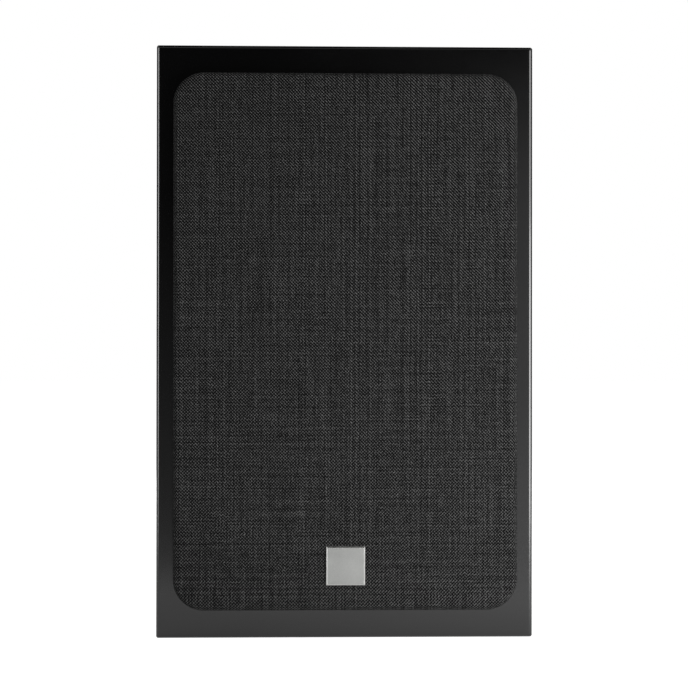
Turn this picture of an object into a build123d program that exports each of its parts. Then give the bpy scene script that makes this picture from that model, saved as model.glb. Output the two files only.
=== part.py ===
from build123d import *
from math import cos, radians, sin, tan
import os

os.makedirs("parts", exist_ok=True)

# Two-way bookshelf speaker, in millimetres. +Z is up, the front faces -Y, and the origin is the
# middle of the cabinet's bottom face. A driver's depths count backwards from the baffle's front face,
# and a rear fitting's depths count inwards from the rear panel's outer face.

# Cabinet
cabinet_width = 245.0
cabinet_height = 385.0
cabinet_depth = 255.0
panel_thickness = 15.0
baffle_thickness = 18.0
front_edge_radius = 2.4
corner_radius = 1.4
shelf_thickness = 12.0
shelf_rim = 22.0
shelf_bar = 20.0
shelf_window_radius = 10.0
wadding_thickness = 14.0
wadding_gap = 8.0
wadding_edge_radius = 4.0

# Woofer
woofer_coil_bore = 16.0
woofer_former_wall = 0.4
woofer_former_front = 26.5
woofer_winding_wall = 1.0
woofer_winding_length = 14.0
woofer_pole_clearance = 0.7
woofer_gap_clearance = 0.5
woofer_pole_vent = 6.0
woofer_cone_radius = 56.0
woofer_cone_lip = 4.5
woofer_cone_wall = 1.4
woofer_neck_depth = 29.0
woofer_cap_radius = 20.5
woofer_cap_height = 8.5
woofer_cap_wall = 0.8
woofer_surround_wall = 1.0
woofer_surround_rim = 6.5
woofer_roll_width = 10.0
woofer_rim_clearance = 0.3
woofer_flange_band = 15.2
woofer_flange_thickness = 5.0
woofer_ledge_depth = 2.0
woofer_seat_width = 13.0
woofer_cutout_clearance = 1.0
woofer_basket_wall = 3.6
woofer_spokes = 6
woofer_spoke_width = 14.0
woofer_window_front = 10.0
woofer_tub_radius = 50.0
woofer_tub_front = 40.0
woofer_spider_depth = 44.0
woofer_spider_wall = 0.8
woofer_spider_rolls = 7
woofer_spider_neck = 1.8
woofer_spider_rim = 5.4
woofer_floor_depth = 55.0
woofer_floor_thickness = 4.0
woofer_floor_bore = 30.0
woofer_plate_radius = 40.0
woofer_top_plate_thickness = 6.0
woofer_magnet_bore = 24.0
woofer_magnet_radius = 45.0
woofer_magnet_thickness = 18.0
woofer_yoke_thickness = 6.0
woofer_screw_count = 6
woofer_screw_inset = 6.0
woofer_screw_radius = 2.0
woofer_screw_length = 14.0
woofer_head_radius = 4.0
woofer_head_height = 2.6

# Tweeter
tweeter_dome_radius = 14.6
tweeter_dome_height = 5.2
tweeter_dome_wall = 0.4
tweeter_roll_width = 3.0
tweeter_surround_wall = 0.3
tweeter_surround_lip = 0.4
tweeter_rim_radius = 24.0
tweeter_coil_wall = 0.6
tweeter_coil_length = 5.5
tweeter_coil_clearance = 0.45
tweeter_plate_radius = 52.0
tweeter_plate_thickness = 4.0
tweeter_hub_radius = 33.0
tweeter_hub_depth = 7.2
tweeter_throat_radius = 19.5
tweeter_throat_depth = 3.6
tweeter_dish_radius = 37.0
tweeter_dish_fall = 1.26
tweeter_seat_width = 14.0
tweeter_top_plate_radius = 30.0
tweeter_top_plate_thickness = 3.0
tweeter_magnet_bore = 18.0
tweeter_magnet_radius = 34.0
tweeter_magnet_thickness = 10.0
tweeter_yoke_thickness = 4.0
tweeter_pole_drop = 0.4
tweeter_pole_vent = 4.0
tweeter_cup_radius = 30.0
tweeter_cup_depth = 21.5
tweeter_cup_wall = 1.5
tweeter_screw_count = 4
tweeter_screw_inset = 7.0
tweeter_screw_radius = 1.7
tweeter_screw_length = 13.0
tweeter_head_radius = 3.4
tweeter_head_height = 2.0

# Shared by both drivers
driver_gap = 12.0
gasket_thickness = 1.0
gasket_inset = 1.0
rebate_clearance = 0.5
screw_clearance = 0.25
pilot_clearance = 0.05

# Grille
grille_side_margin = 11.0
grille_end_margin = 18.7
grille_thickness = 12.0
grille_corner_radius = 20.0
grille_edge_radius = 3.0
cloth_thickness = 0.8
cloth_hem = 11.0
rail_width = 13.0
rail_corner_radius = 2.0
crossbar_width = 9.0
crossbar_thickness = 5.0
peg_end_inset = 30.0
peg_radius = 2.9
peg_root_radius = 3.5
peg_root_depth = 7.0
peg_length = 9.0
peg_tip_radius = 1.2
cup_clearance = 0.3
cup_wall = 1.8
cup_floor = 1.5
badge_size = 25.0
badge_thickness = 2.0
badge_chamfer = 0.8
badge_rise = 28.9
badge_land_size = 32.0
badge_land_drop = 1.6
badge_land_radius = 4.0
badge_land_thickness = 4.0
badge_pin_radius = 1.0
badge_pin_spacing = 15.0
badge_pin_length = 3.5
badge_pin_clearance = 0.1

# Rear fittings
port_bore = 26.0
port_wall = 2.5
port_length = 120.0
port_flange_radius = 40.0
port_flange_thickness = 2.0
port_flare_radius = 12.0
port_sleeve_radius = 35.0
port_sleeve_length = 3.0
port_gap = 8.0
port_hole_clearance = 0.3
terminal_height = 75.0
terminal_width = 92.0
terminal_tall = 72.0
terminal_flange = 3.0
terminal_flange_radius = 8.0
terminal_rim = 8.0
terminal_recess = 24.0
terminal_recess_radius = 6.0
terminal_wall = 2.5
terminal_floor = 3.0
terminal_hole_clearance = 0.5
terminal_screw_radius = 1.6
terminal_screw_length = 14.0
terminal_head_radius = 3.0
terminal_head_height = 1.8
terminal_screw_inset = 5.0
post_spacing = 38.0
post_base_radius = 6.5
post_base_height = 3.0
post_thread_radius = 4.0
post_thread_length = 19.0
post_socket_radius = 2.0
post_socket_depth = 14.0
post_wire_hole_radius = 1.5
post_wire_hole_height = 2.5
post_shank_radius = 3.0
post_shank_length = 11.0
post_clearance = 0.3
collar_thickness = 1.5
knob_radius = 7.5
knob_end_thickness = 1.4
knob_end_gap = 0.2
knob_flutes = 14
knob_flute_radius = 1.0
knob_edge_chamfer = 0.8
nut_width = 10.0
nut_thickness = 4.0
tag_thickness = 0.8
tag_radius = 5.0
tag_width = 6.0
tag_reach = 16.0

# Crossover
board_width = 90.0
board_length = 100.0
board_thickness = 1.6
board_rear_gap = 32.5
board_fixing_inset = 5.0
spacer_height = 6.0
spacer_radius = 3.5
board_screw_radius = 1.5
board_screw_length = 16.0
board_head_radius = 2.8
board_head_height = 1.8
woofer_inductor_bore = 9.0
woofer_inductor_radius = 22.0
woofer_inductor_height = 20.0
tweeter_inductor_bore = 6.0
tweeter_inductor_radius = 13.0
tweeter_inductor_height = 14.0
capacitor_radius = 8.0
capacitor_length = 28.0
capacitor_edge = 1.0
resistor_size = 8.0
resistor_length = 30.0
resistor_edge = 0.8
lead_radius = 1.2
flex_radius = 0.6
flex_gap = 0.2
flex_lead_in = 9.0
strip_width = 24.0
strip_height = 12.0
strip_thickness = 2.0
strip_pitch = 14.0
strip_tab_width = 4.8
strip_tab_thickness = 0.8
strip_tab_reach = 8.0
strip_inner_clearance = 1.0

# Places worked out from the sizes above
front_y = -cabinet_depth / 2
rear_y = cabinet_depth / 2
baffle_rear_y = front_y + baffle_thickness
rear_inner_y = rear_y - panel_thickness
inner_width = cabinet_width - 2 * panel_thickness
inner_height = cabinet_height - 2 * panel_thickness
carcass_depth = rear_y - baffle_rear_y
carcass_y = (rear_y + baffle_rear_y) / 2
inner_depth = rear_inner_y - baffle_rear_y

woofer_former_radius = woofer_coil_bore + woofer_former_wall
woofer_winding_radius = woofer_former_radius + woofer_winding_wall
woofer_gap_radius = woofer_winding_radius + woofer_gap_clearance
woofer_pole_radius = woofer_coil_bore - woofer_pole_clearance
woofer_roll_start = woofer_cone_radius - woofer_surround_wall / 2
woofer_opening_radius = woofer_roll_start + woofer_roll_width + woofer_surround_wall / 2
woofer_rim_radius = woofer_opening_radius + woofer_surround_rim
woofer_ledge_radius = woofer_rim_radius + woofer_rim_clearance
woofer_flange_radius = woofer_ledge_radius + woofer_flange_band
woofer_wall_radius = woofer_flange_radius - woofer_seat_width
woofer_cutout_radius = woofer_wall_radius + woofer_cutout_clearance
woofer_screw_circle = woofer_flange_radius - woofer_screw_inset
woofer_rebate_depth = woofer_flange_thickness + gasket_thickness
woofer_tub_bore = woofer_tub_radius - woofer_basket_wall
woofer_spider_bore = woofer_tub_bore - woofer_spider_rim
woofer_motor_depth = woofer_floor_depth + woofer_floor_thickness
woofer_magnet_depth = woofer_motor_depth + woofer_top_plate_thickness
woofer_yoke_depth = woofer_magnet_depth + woofer_magnet_thickness
woofer_motor_rear = woofer_yoke_depth + woofer_yoke_thickness
woofer_gap_depth = woofer_motor_depth + woofer_top_plate_thickness / 2
woofer_winding_front = woofer_gap_depth - woofer_winding_length / 2
woofer_winding_rear = woofer_gap_depth + woofer_winding_length / 2

tweeter_roll_start = tweeter_dome_radius + tweeter_surround_lip + tweeter_surround_wall / 2
tweeter_diaphragm_depth = tweeter_hub_depth + tweeter_surround_wall
tweeter_coil_bore = tweeter_dome_radius - tweeter_coil_wall
tweeter_pole_radius = tweeter_coil_bore - tweeter_coil_clearance
tweeter_gap_radius = tweeter_dome_radius + tweeter_coil_clearance
tweeter_magnet_depth = tweeter_diaphragm_depth + tweeter_top_plate_thickness
tweeter_yoke_depth = tweeter_magnet_depth + tweeter_magnet_thickness
tweeter_cup_front = tweeter_yoke_depth + tweeter_yoke_thickness
tweeter_cup_rear = tweeter_cup_front + tweeter_cup_depth
tweeter_cutout_radius = tweeter_plate_radius - tweeter_seat_width
tweeter_screw_circle = tweeter_plate_radius - tweeter_screw_inset
tweeter_rebate_depth = tweeter_plate_thickness + gasket_thickness

# The two drivers stand one above the other, centred as a pair on the baffle
driver_stack = 2 * woofer_flange_radius + driver_gap + 2 * tweeter_plate_radius
woofer_z = (cabinet_height - driver_stack) / 2 + woofer_flange_radius
between_drivers_z = woofer_z + woofer_flange_radius + driver_gap / 2
tweeter_z = between_drivers_z + driver_gap / 2 + tweeter_plate_radius

# The grille's cloth wraps its frame all round, so the frame is one cloth thickness smaller
grille_width = cabinet_width - 2 * grille_side_margin
grille_height = cabinet_height - 2 * grille_end_margin
frame_width = grille_width - 2 * cloth_thickness
frame_height = grille_height - 2 * cloth_thickness
frame_thickness = grille_thickness - 2 * cloth_thickness
frame_corner_radius = grille_corner_radius - cloth_thickness
frame_edge_radius = grille_edge_radius - cloth_thickness
grille_z = cabinet_height / 2
badge_height = grille_z - grille_height / 2 + badge_rise
window_width = frame_width - 2 * rail_width
window_bottom = grille_z - frame_height / 2 + rail_width
window_top = grille_z + frame_height / 2 - rail_width
lower_window_height = between_drivers_z - crossbar_width / 2 - window_bottom
upper_window_height = window_top - between_drivers_z - crossbar_width / 2
peg_x = (frame_width - rail_width) / 2
peg_heights = (
    grille_z - frame_height / 2 + peg_end_inset,
    between_drivers_z,
    grille_z + frame_height / 2 - peg_end_inset,
)
peg_spots = [(side * peg_x, height) for side in (-1, 1) for height in peg_heights]
cup_bore = peg_radius + cup_clearance
cup_radius = cup_bore + cup_wall
cup_depth = peg_length + cup_clearance + cup_floor
badge_pin_spots = [(side * badge_pin_spacing / 2, badge_height) for side in (-1, 1)]

shelf_z = between_drivers_z
port_z = shelf_z + shelf_thickness / 2 + port_gap + port_flange_radius
recess_width = terminal_width - 2 * terminal_rim
recess_tall = terminal_tall - 2 * terminal_rim
cup_body_width = recess_width + 2 * terminal_wall
cup_body_tall = recess_tall + 2 * terminal_wall
cup_body_radius = terminal_recess_radius + terminal_wall
terminal_seat = terminal_flange + gasket_thickness
recess_floor_depth = terminal_recess - terminal_seat
cup_floor_rear = recess_floor_depth + terminal_floor
post_face_depth = recess_floor_depth - post_base_height
post_end_depth = post_face_depth - post_thread_length
knob_inner_radius = post_thread_radius + post_clearance
knob_near_depth = post_face_depth - collar_thickness
knob_far_depth = post_end_depth - knob_end_gap - knob_end_thickness
knob_mouth_radius = post_socket_radius + post_clearance
nut_depth = cup_floor_rear + tag_thickness

board_bottom = panel_thickness + spacer_height
board_top = board_bottom + board_thickness
board_rear_y = rear_inner_y - board_rear_gap
board_y = board_rear_y - board_length / 2
board_fixing_spots = [
    (side * (board_width / 2 - board_fixing_inset), board_y + end * (board_length / 2 - board_fixing_inset))
    for side in (-1, 1)
    for end in (-1, 1)
]
woofer_strip_radius = woofer_plate_radius + strip_inner_clearance + strip_height / 2


def front_plane(height, depth=0.0):
    """Plane facing the listener, at a height on the cabinet and a depth behind the baffle's face."""
    return Plane(origin=(0, front_y + depth, height), x_dir=(1, 0, 0), z_dir=(0, -1, 0))


def rear_plane(height, depth=0.0, across=0.0):
    """Plane facing backwards, at a height on the cabinet and a depth inside the rear face."""
    return Plane(origin=(across, rear_y - depth, height), x_dir=(-1, 0, 0), z_dir=(0, 1, 0))


def front_section(height):
    """Plane through a driver's axis: local x is the radius, local y the depth behind the baffle's face."""
    return Plane(origin=(0, front_y, height), x_dir=(1, 0, 0), z_dir=(0, 0, 1))


def rear_section(height, across=0.0):
    """Plane through a rear fitting's axis: local x is the radius, local y the depth inside the rear face."""
    return Plane(origin=(across, rear_y, height), x_dir=(1, 0, 0), z_dir=(0, 0, -1))


def depth_axis(height, across=0.0):
    """Axis that runs front to back at a height on the cabinet."""
    return Axis((across, 0, height), (0, 1, 0))


def ring(inner, outer, near, far):
    """Corners of a plain ring's section, between two radii and two depths."""
    return [(inner, near), (outer, near), (outer, far), (inner, far)]


def cap_point(edge_radius, edge_depth, height, radius):
    """Point at a radius on a round cap that stands a height in front of its edge."""
    sphere = (edge_radius**2 + height**2) / (2 * height)
    centre_depth = edge_depth - height + sphere
    return (radius, centre_depth - (sphere**2 - radius**2) ** 0.5)


def rolled_ring(height, inner, outer, first, width, count, near, wall):
    """Thin ring with half-round rolls between two flat rims, as a surround or a spider has.

    The rolls start at the radius first and turn forwards and backwards by turns.
    """
    with BuildPart() as piece:
        with BuildSketch(front_section(height)):
            with BuildLine():
                front_at = first - wall / 2
                rear_at = first + wall / 2
                Line((inner, near), (front_at, near))
                Polyline((rear_at, near), (rear_at, near + wall), (inner, near + wall), (inner, near))
                for index in range(count):
                    way = -1 if index % 2 == 0 else 1
                    middle = first + (index + 0.5) * width
                    end = first + (index + 1) * width
                    front_end = end - way * wall / 2
                    rear_end = end + way * wall / 2
                    front_rise = (width - way * wall) / 2
                    rear_rise = (width + way * wall) / 2
                    ThreePointArc((front_at, near), (middle, near + way * front_rise), (front_end, near))
                    ThreePointArc((rear_at, near), (middle, near + way * rear_rise), (rear_end, near))
                    front_at = front_end
                    rear_at = rear_end
                Polyline(
                    (front_at, near),
                    (outer, near),
                    (outer, near + wall),
                    (rear_at, near + wall),
                    (rear_at, near),
                )
            make_face()
        revolve(axis=depth_axis(height))
    return piece.part


def screw(head_radius, head_height, shank_radius, length):
    """Pan-head screw with a hexagon socket, its seat at the origin, its head up and its tip down."""
    crown_radius = head_radius - head_height / 3
    socket_radius = head_radius * 0.5
    socket_depth = head_height * 0.6
    with BuildPart() as piece:
        with BuildSketch(Plane.XZ):
            Polygon(
                [
                    (0, head_height),
                    (crown_radius, head_height),
                    (head_radius, head_height * 2 / 3),
                    (head_radius, 0),
                    (shank_radius, 0),
                    (shank_radius, shank_radius - length),
                    (0, -length),
                ],
                align=None,
            )
        revolve(axis=Axis.Z)
        with BuildSketch(Plane.XY.offset(head_height)):
            RegularPolygon(socket_radius, 6)
        extrude(amount=-socket_depth, mode=Mode.SUBTRACT)
    return piece.part


def terminal_strip(plane):
    """Small board with two soldering tabs, lying on a plane that faces away from its seat."""
    tab_length = strip_height / 2 + strip_tab_reach
    with BuildPart() as piece:
        with BuildSketch(plane):
            Rectangle(strip_width, strip_height)
        extrude(amount=strip_thickness)
        with BuildSketch(plane.offset(strip_thickness)):
            with Locations(*[(side * strip_pitch / 2, tab_length / 2) for side in (-1, 1)]):
                Rectangle(strip_tab_width, tab_length)
        extrude(amount=strip_tab_thickness)
    return piece.part


def bend_radii(points):
    """Largest radius at each corner of a route that leaves a tenth of its shorter run straight."""
    spots = [Vector(*point) for point in points]
    radii = []
    for before, corner, after in zip(spots, spots[1:], spots[2:]):
        turn = (corner - before).get_angle(after - corner)
        shorter = min((corner - before).length, (after - corner).length)
        radii.append(0.45 * shorter / tan(radians(turn / 2)))
    return radii


def wire(points, radius):
    """Round wire along a route of straight runs joined by tangent arcs."""
    radii = bend_radii(points)
    print("wire bends, mm:", [round(value, 1) for value in radii])
    with BuildPart() as piece:
        with BuildLine() as route:
            FilletPolyline(*points, radius=radii)
        with BuildSketch(route.line ^ 0):
            Circle(radius)
        sweep(path=route.line)
    return piece.part


def save(piece, name):
    """Label a finished piece and write it under its own name."""
    piece.part.label = name
    export_step(piece.part, f"parts/{name}.step")


# Cabinet panels

with BuildPart() as front_baffle:
    with BuildSketch(front_plane(cabinet_height / 2)):
        Rectangle(cabinet_width, cabinet_height)
    extrude(amount=-baffle_thickness)
    fillet(front_baffle.edges().filter_by(Axis.Y), corner_radius)
    fillet(front_baffle.faces().sort_by(Axis.Y)[0].edges(), front_edge_radius)
    with Locations(front_plane(woofer_z)):
        CounterBoreHole(woofer_cutout_radius, woofer_flange_radius + rebate_clearance, woofer_rebate_depth)
    with Locations(front_plane(tweeter_z)):
        CounterBoreHole(tweeter_cutout_radius, tweeter_plate_radius + rebate_clearance, tweeter_rebate_depth)
    with Locations(front_plane(0)):
        with Locations(*peg_spots):
            Hole(cup_radius, cup_depth)
    with Locations(front_plane(woofer_z)):
        with PolarLocations(woofer_screw_circle, woofer_screw_count):
            Hole(woofer_screw_radius + pilot_clearance, baffle_thickness)
    with Locations(front_plane(tweeter_z)):
        with PolarLocations(tweeter_screw_circle, tweeter_screw_count, start_angle=45):
            Hole(tweeter_screw_radius + pilot_clearance, baffle_thickness)
save(front_baffle, "front_baffle")

for side, hand in ((-1, "left"), (1, "right")):
    with BuildPart() as side_panel:
        with Locations((side * (cabinet_width - panel_thickness) / 2, carcass_y, cabinet_height / 2)):
            Box(panel_thickness, carcass_depth, cabinet_height)
        outer_face = side_panel.faces().sort_by(Axis.X)[0 if side < 0 else -1]
        fillet(outer_face.edges().filter_by(Axis.Y), corner_radius)
    save(side_panel, f"{hand}_side_panel")

bottom_level = panel_thickness / 2
top_level = cabinet_height - panel_thickness / 2
for level, name in ((bottom_level, "bottom_panel"), (top_level, "top_panel")):
    with BuildPart() as flat_panel:
        with Locations((0, carcass_y, level)):
            Box(inner_width, carcass_depth, panel_thickness)
        if name == "bottom_panel":
            with Locations(Plane.XY.offset(panel_thickness)):
                with Locations(*board_fixing_spots):
                    Hole(
                        board_screw_radius + pilot_clearance,
                        board_screw_length - spacer_height - board_thickness,
                    )
    save(flat_panel, name)

with BuildPart() as rear_panel:
    with BuildSketch(rear_plane(cabinet_height / 2)):
        Rectangle(inner_width, inner_height)
    extrude(amount=-panel_thickness)
    with Locations(rear_plane(port_z)):
        Hole(port_sleeve_radius + port_hole_clearance)
    with BuildSketch(rear_plane(terminal_height)):
        RectangleRounded(
            cup_body_width + 2 * terminal_hole_clearance,
            cup_body_tall + 2 * terminal_hole_clearance,
            cup_body_radius + terminal_hole_clearance,
        )
    extrude(amount=-panel_thickness, mode=Mode.SUBTRACT)
    with Locations(rear_plane(terminal_height)):
        with GridLocations(
            terminal_width - 2 * terminal_screw_inset, terminal_tall - 2 * terminal_screw_inset, 2, 2
        ):
            Hole(terminal_screw_radius + pilot_clearance, terminal_screw_length - terminal_seat)
save(rear_panel, "rear_panel")

shelf_window_width = (inner_width - shelf_bar) / 2 - shelf_rim
with BuildPart() as shelf_brace:
    with BuildSketch(Plane.XY.offset(shelf_z - shelf_thickness / 2)):
        with Locations((0, (baffle_rear_y + rear_inner_y) / 2)):
            Rectangle(inner_width, inner_depth)
            with GridLocations(shelf_window_width + shelf_bar, 0, 2, 1):
                RectangleRounded(
                    shelf_window_width, inner_depth - 2 * shelf_rim, shelf_window_radius, mode=Mode.SUBTRACT
                )
    extrude(amount=shelf_thickness)
save(shelf_brace, "shelf_brace")

wadding_bottom = panel_thickness + wadding_gap
wadding_top = shelf_z - shelf_thickness / 2 - wadding_gap
for side, hand in ((-1, "left"), (1, "right")):
    with BuildPart() as wadding:
        with Locations(
            (
                side * (inner_width - wadding_thickness) / 2,
                (baffle_rear_y + rear_inner_y) / 2,
                (wadding_bottom + wadding_top) / 2,
            )
        ):
            Box(wadding_thickness, inner_depth - 2 * wadding_gap, wadding_top - wadding_bottom)
        inner_face = wadding.faces().sort_by(Axis.X)[-1 if side < 0 else 0]
        fillet(inner_face.edges(), wadding_edge_radius)
    save(wadding, f"{hand}_wadding")

# Woofer

with BuildPart() as woofer_basket:
    with BuildSketch(front_section(woofer_z)):
        Polygon(
            [
                (woofer_ledge_radius, 0),
                (woofer_flange_radius, 0),
                (woofer_flange_radius, woofer_flange_thickness),
                (woofer_wall_radius, woofer_flange_thickness),
                (woofer_tub_radius, woofer_tub_front),
                (woofer_tub_radius, woofer_motor_depth),
                (woofer_floor_bore, woofer_motor_depth),
                (woofer_floor_bore, woofer_floor_depth),
                (woofer_spider_bore, woofer_floor_depth),
                (woofer_spider_bore, woofer_spider_depth),
                (woofer_tub_bore, woofer_spider_depth),
                (woofer_tub_bore, woofer_tub_front),
                (woofer_wall_radius - woofer_basket_wall, woofer_flange_thickness),
                (woofer_opening_radius, woofer_flange_thickness),
                (woofer_opening_radius, woofer_ledge_depth),
                (woofer_ledge_radius, woofer_ledge_depth),
            ],
            align=None,
        )
    revolve(axis=depth_axis(woofer_z))
    with BuildSketch(front_plane(woofer_z, woofer_window_front)):
        Circle(woofer_wall_radius)
        with PolarLocations(0, woofer_spokes):
            Rectangle(
                woofer_wall_radius * 2,
                woofer_spoke_width,
                align=(Align.MIN, Align.CENTER),
                mode=Mode.SUBTRACT,
            )
    extrude(amount=woofer_window_front - woofer_tub_front, mode=Mode.SUBTRACT)
    with Locations(front_plane(woofer_z)):
        with PolarLocations(woofer_screw_circle, woofer_screw_count):
            CounterBoreHole(
                woofer_screw_radius + screw_clearance,
                woofer_head_radius + screw_clearance,
                woofer_head_height,
                woofer_flange_thickness,
            )
save(woofer_basket, "woofer_basket")

with BuildPart() as woofer_gasket:
    with BuildSketch(front_section(woofer_z)):
        Polygon(
            ring(
                woofer_cutout_radius + gasket_inset,
                woofer_flange_radius - gasket_inset,
                woofer_flange_thickness,
                woofer_rebate_depth,
            ),
            align=None,
        )
    revolve(axis=depth_axis(woofer_z))
    with Locations(front_plane(woofer_z)):
        with PolarLocations(woofer_screw_circle, woofer_screw_count):
            Hole(woofer_screw_radius + screw_clearance, woofer_rebate_depth)
save(woofer_gasket, "woofer_gasket")

with BuildPart() as woofer_surround:
    add(
        rolled_ring(
            woofer_z,
            inner=woofer_cone_radius - woofer_cone_lip,
            outer=woofer_rim_radius,
            first=woofer_roll_start,
            width=woofer_roll_width,
            count=1,
            near=woofer_ledge_depth - woofer_surround_wall,
            wall=woofer_surround_wall,
        )
    )
save(woofer_surround, "woofer_surround")

# The cone's front face falls evenly from the lip's inner edge to the neck
cone_lip_radius = woofer_cone_radius - woofer_cone_lip
cone_slope = (woofer_neck_depth - woofer_ledge_depth) / (cone_lip_radius - woofer_former_radius)


def cone_depth(radius):
    """Depth of the cone's front face at a radius."""
    return woofer_ledge_depth + (cone_lip_radius - radius) * cone_slope


with BuildPart() as woofer_cone:
    with BuildSketch(front_section(woofer_z)):
        Polygon(
            [
                (woofer_cone_radius, woofer_ledge_depth),
                (woofer_cone_radius, woofer_ledge_depth + woofer_cone_wall),
                (cone_lip_radius, woofer_ledge_depth + woofer_cone_wall),
                (woofer_former_radius, woofer_neck_depth + woofer_cone_wall),
                (woofer_former_radius, woofer_neck_depth),
                (cone_lip_radius, woofer_ledge_depth),
            ],
            align=None,
        )
    revolve(axis=depth_axis(woofer_z))
save(woofer_cone, "woofer_cone")

cap_edge_depth = cone_depth(woofer_cap_radius)
cap_inner_radius = woofer_cap_radius - woofer_cap_wall
cap_inner_depth = cone_depth(cap_inner_radius)
with BuildPart() as woofer_dust_cap:
    with BuildSketch(front_section(woofer_z)):
        with BuildLine():
            outer_edge = (woofer_cap_radius, cap_edge_depth)
            inner_edge = (cap_inner_radius, cap_inner_depth)
            outer_top = (0, cap_edge_depth - woofer_cap_height)
            inner_top = (0, cap_edge_depth - woofer_cap_height + woofer_cap_wall)
            cap_inner_height = cap_inner_depth - inner_top[1]
            ThreePointArc(
                outer_edge,
                cap_point(woofer_cap_radius, cap_edge_depth, woofer_cap_height, woofer_cap_radius / 2),
                outer_top,
            )
            Line(outer_top, inner_top)
            ThreePointArc(
                inner_top,
                cap_point(cap_inner_radius, cap_inner_depth, cap_inner_height, cap_inner_radius / 2),
                inner_edge,
            )
            Line(inner_edge, outer_edge)
        make_face()
    revolve(axis=depth_axis(woofer_z))
save(woofer_dust_cap, "woofer_dust_cap")

with BuildPart() as woofer_coil_former:
    with BuildSketch(front_section(woofer_z)):
        Polygon(
            ring(woofer_coil_bore, woofer_former_radius, woofer_former_front, woofer_winding_rear), align=None
        )
    revolve(axis=depth_axis(woofer_z))
save(woofer_coil_former, "woofer_coil_former")

with BuildPart() as woofer_voice_coil:
    with BuildSketch(front_section(woofer_z)):
        Polygon(
            ring(woofer_former_radius, woofer_winding_radius, woofer_winding_front, woofer_winding_rear),
            align=None,
        )
    revolve(axis=depth_axis(woofer_z))
save(woofer_voice_coil, "woofer_voice_coil")

spider_start = woofer_former_radius + woofer_spider_neck
spider_end = woofer_spider_bore - woofer_spider_wall
with BuildPart() as woofer_spider:
    add(
        rolled_ring(
            woofer_z,
            inner=woofer_former_radius,
            outer=woofer_tub_bore - woofer_rim_clearance,
            first=spider_start,
            width=(spider_end - spider_start) / woofer_spider_rolls,
            count=woofer_spider_rolls,
            near=woofer_spider_depth - woofer_spider_wall,
            wall=woofer_spider_wall,
        )
    )
save(woofer_spider, "woofer_spider")

with BuildPart() as woofer_top_plate:
    with BuildSketch(front_section(woofer_z)):
        Polygon(
            ring(woofer_gap_radius, woofer_plate_radius, woofer_motor_depth, woofer_magnet_depth), align=None
        )
    revolve(axis=depth_axis(woofer_z))
save(woofer_top_plate, "woofer_top_plate")

with BuildPart() as woofer_magnet:
    with BuildSketch(front_section(woofer_z)):
        Polygon(
            ring(woofer_magnet_bore, woofer_magnet_radius, woofer_magnet_depth, woofer_yoke_depth), align=None
        )
    revolve(axis=depth_axis(woofer_z))
save(woofer_magnet, "woofer_magnet")

with BuildPart() as woofer_yoke:
    with BuildSketch(front_section(woofer_z)):
        Polygon(
            [
                (woofer_pole_vent, woofer_motor_depth),
                (woofer_pole_radius, woofer_motor_depth),
                (woofer_pole_radius, woofer_yoke_depth),
                (woofer_plate_radius, woofer_yoke_depth),
                (woofer_plate_radius, woofer_motor_rear),
                (woofer_pole_vent, woofer_motor_rear),
            ],
            align=None,
        )
    revolve(axis=depth_axis(woofer_z))
save(woofer_yoke, "woofer_yoke")

with BuildPart() as woofer_terminal_strip:
    add(terminal_strip(rear_plane(woofer_z + woofer_strip_radius, cabinet_depth - woofer_motor_depth)))
save(woofer_terminal_strip, "woofer_terminal_strip")

# Two flexible leads run from the strip, past the tub and in through a window to the back of the cone
flex_run_radius = woofer_strip_radius + strip_height / 2 - flex_radius
flex_turn_depth = woofer_tub_front - flex_lead_in
flex_end_radius = cone_lip_radius / 2
flex_end_depth = cone_depth(flex_end_radius) + woofer_cone_wall + flex_radius + flex_gap
with BuildPart() as woofer_flex_leads:
    for side in (-1, 1):
        add(
            wire(
                [
                    (side * strip_pitch / 2, front_y + woofer_motor_depth, woofer_z + flex_run_radius),
                    (side * strip_pitch / 2, front_y + flex_turn_depth, woofer_z + flex_run_radius),
                    (side * strip_pitch / 2, front_y + flex_end_depth, woofer_z + flex_end_radius),
                ],
                flex_radius,
            )
        )
save(woofer_flex_leads, "woofer_flex_leads")

with BuildPart(front_plane(woofer_z, woofer_head_height)) as woofer_screws:
    with PolarLocations(woofer_screw_circle, woofer_screw_count):
        add(screw(woofer_head_radius, woofer_head_height, woofer_screw_radius, woofer_screw_length))
save(woofer_screws, "woofer_screws")

# Tweeter

with BuildPart() as tweeter_faceplate:
    with BuildSketch(front_section(tweeter_z)):
        with BuildLine():
            dish_edge = (tweeter_dish_radius, 0)
            throat_edge = (tweeter_throat_radius, tweeter_throat_depth)
            dish_middle = (
                (tweeter_dish_radius + tweeter_throat_radius) / 2,
                tweeter_dish_fall,
            )
            ThreePointArc(throat_edge, dish_middle, dish_edge)
            Polyline(
                dish_edge,
                (tweeter_plate_radius, 0),
                (tweeter_plate_radius, tweeter_plate_thickness),
                (tweeter_hub_radius, tweeter_plate_thickness),
                (tweeter_hub_radius, tweeter_hub_depth),
                (tweeter_throat_radius, tweeter_hub_depth),
                throat_edge,
            )
        make_face()
    revolve(axis=depth_axis(tweeter_z))
    with Locations(front_plane(tweeter_z)):
        with PolarLocations(tweeter_screw_circle, tweeter_screw_count, start_angle=45):
            CounterBoreHole(
                tweeter_screw_radius + screw_clearance,
                tweeter_head_radius + screw_clearance,
                tweeter_head_height,
                tweeter_plate_thickness,
            )
save(tweeter_faceplate, "tweeter_faceplate")

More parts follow.
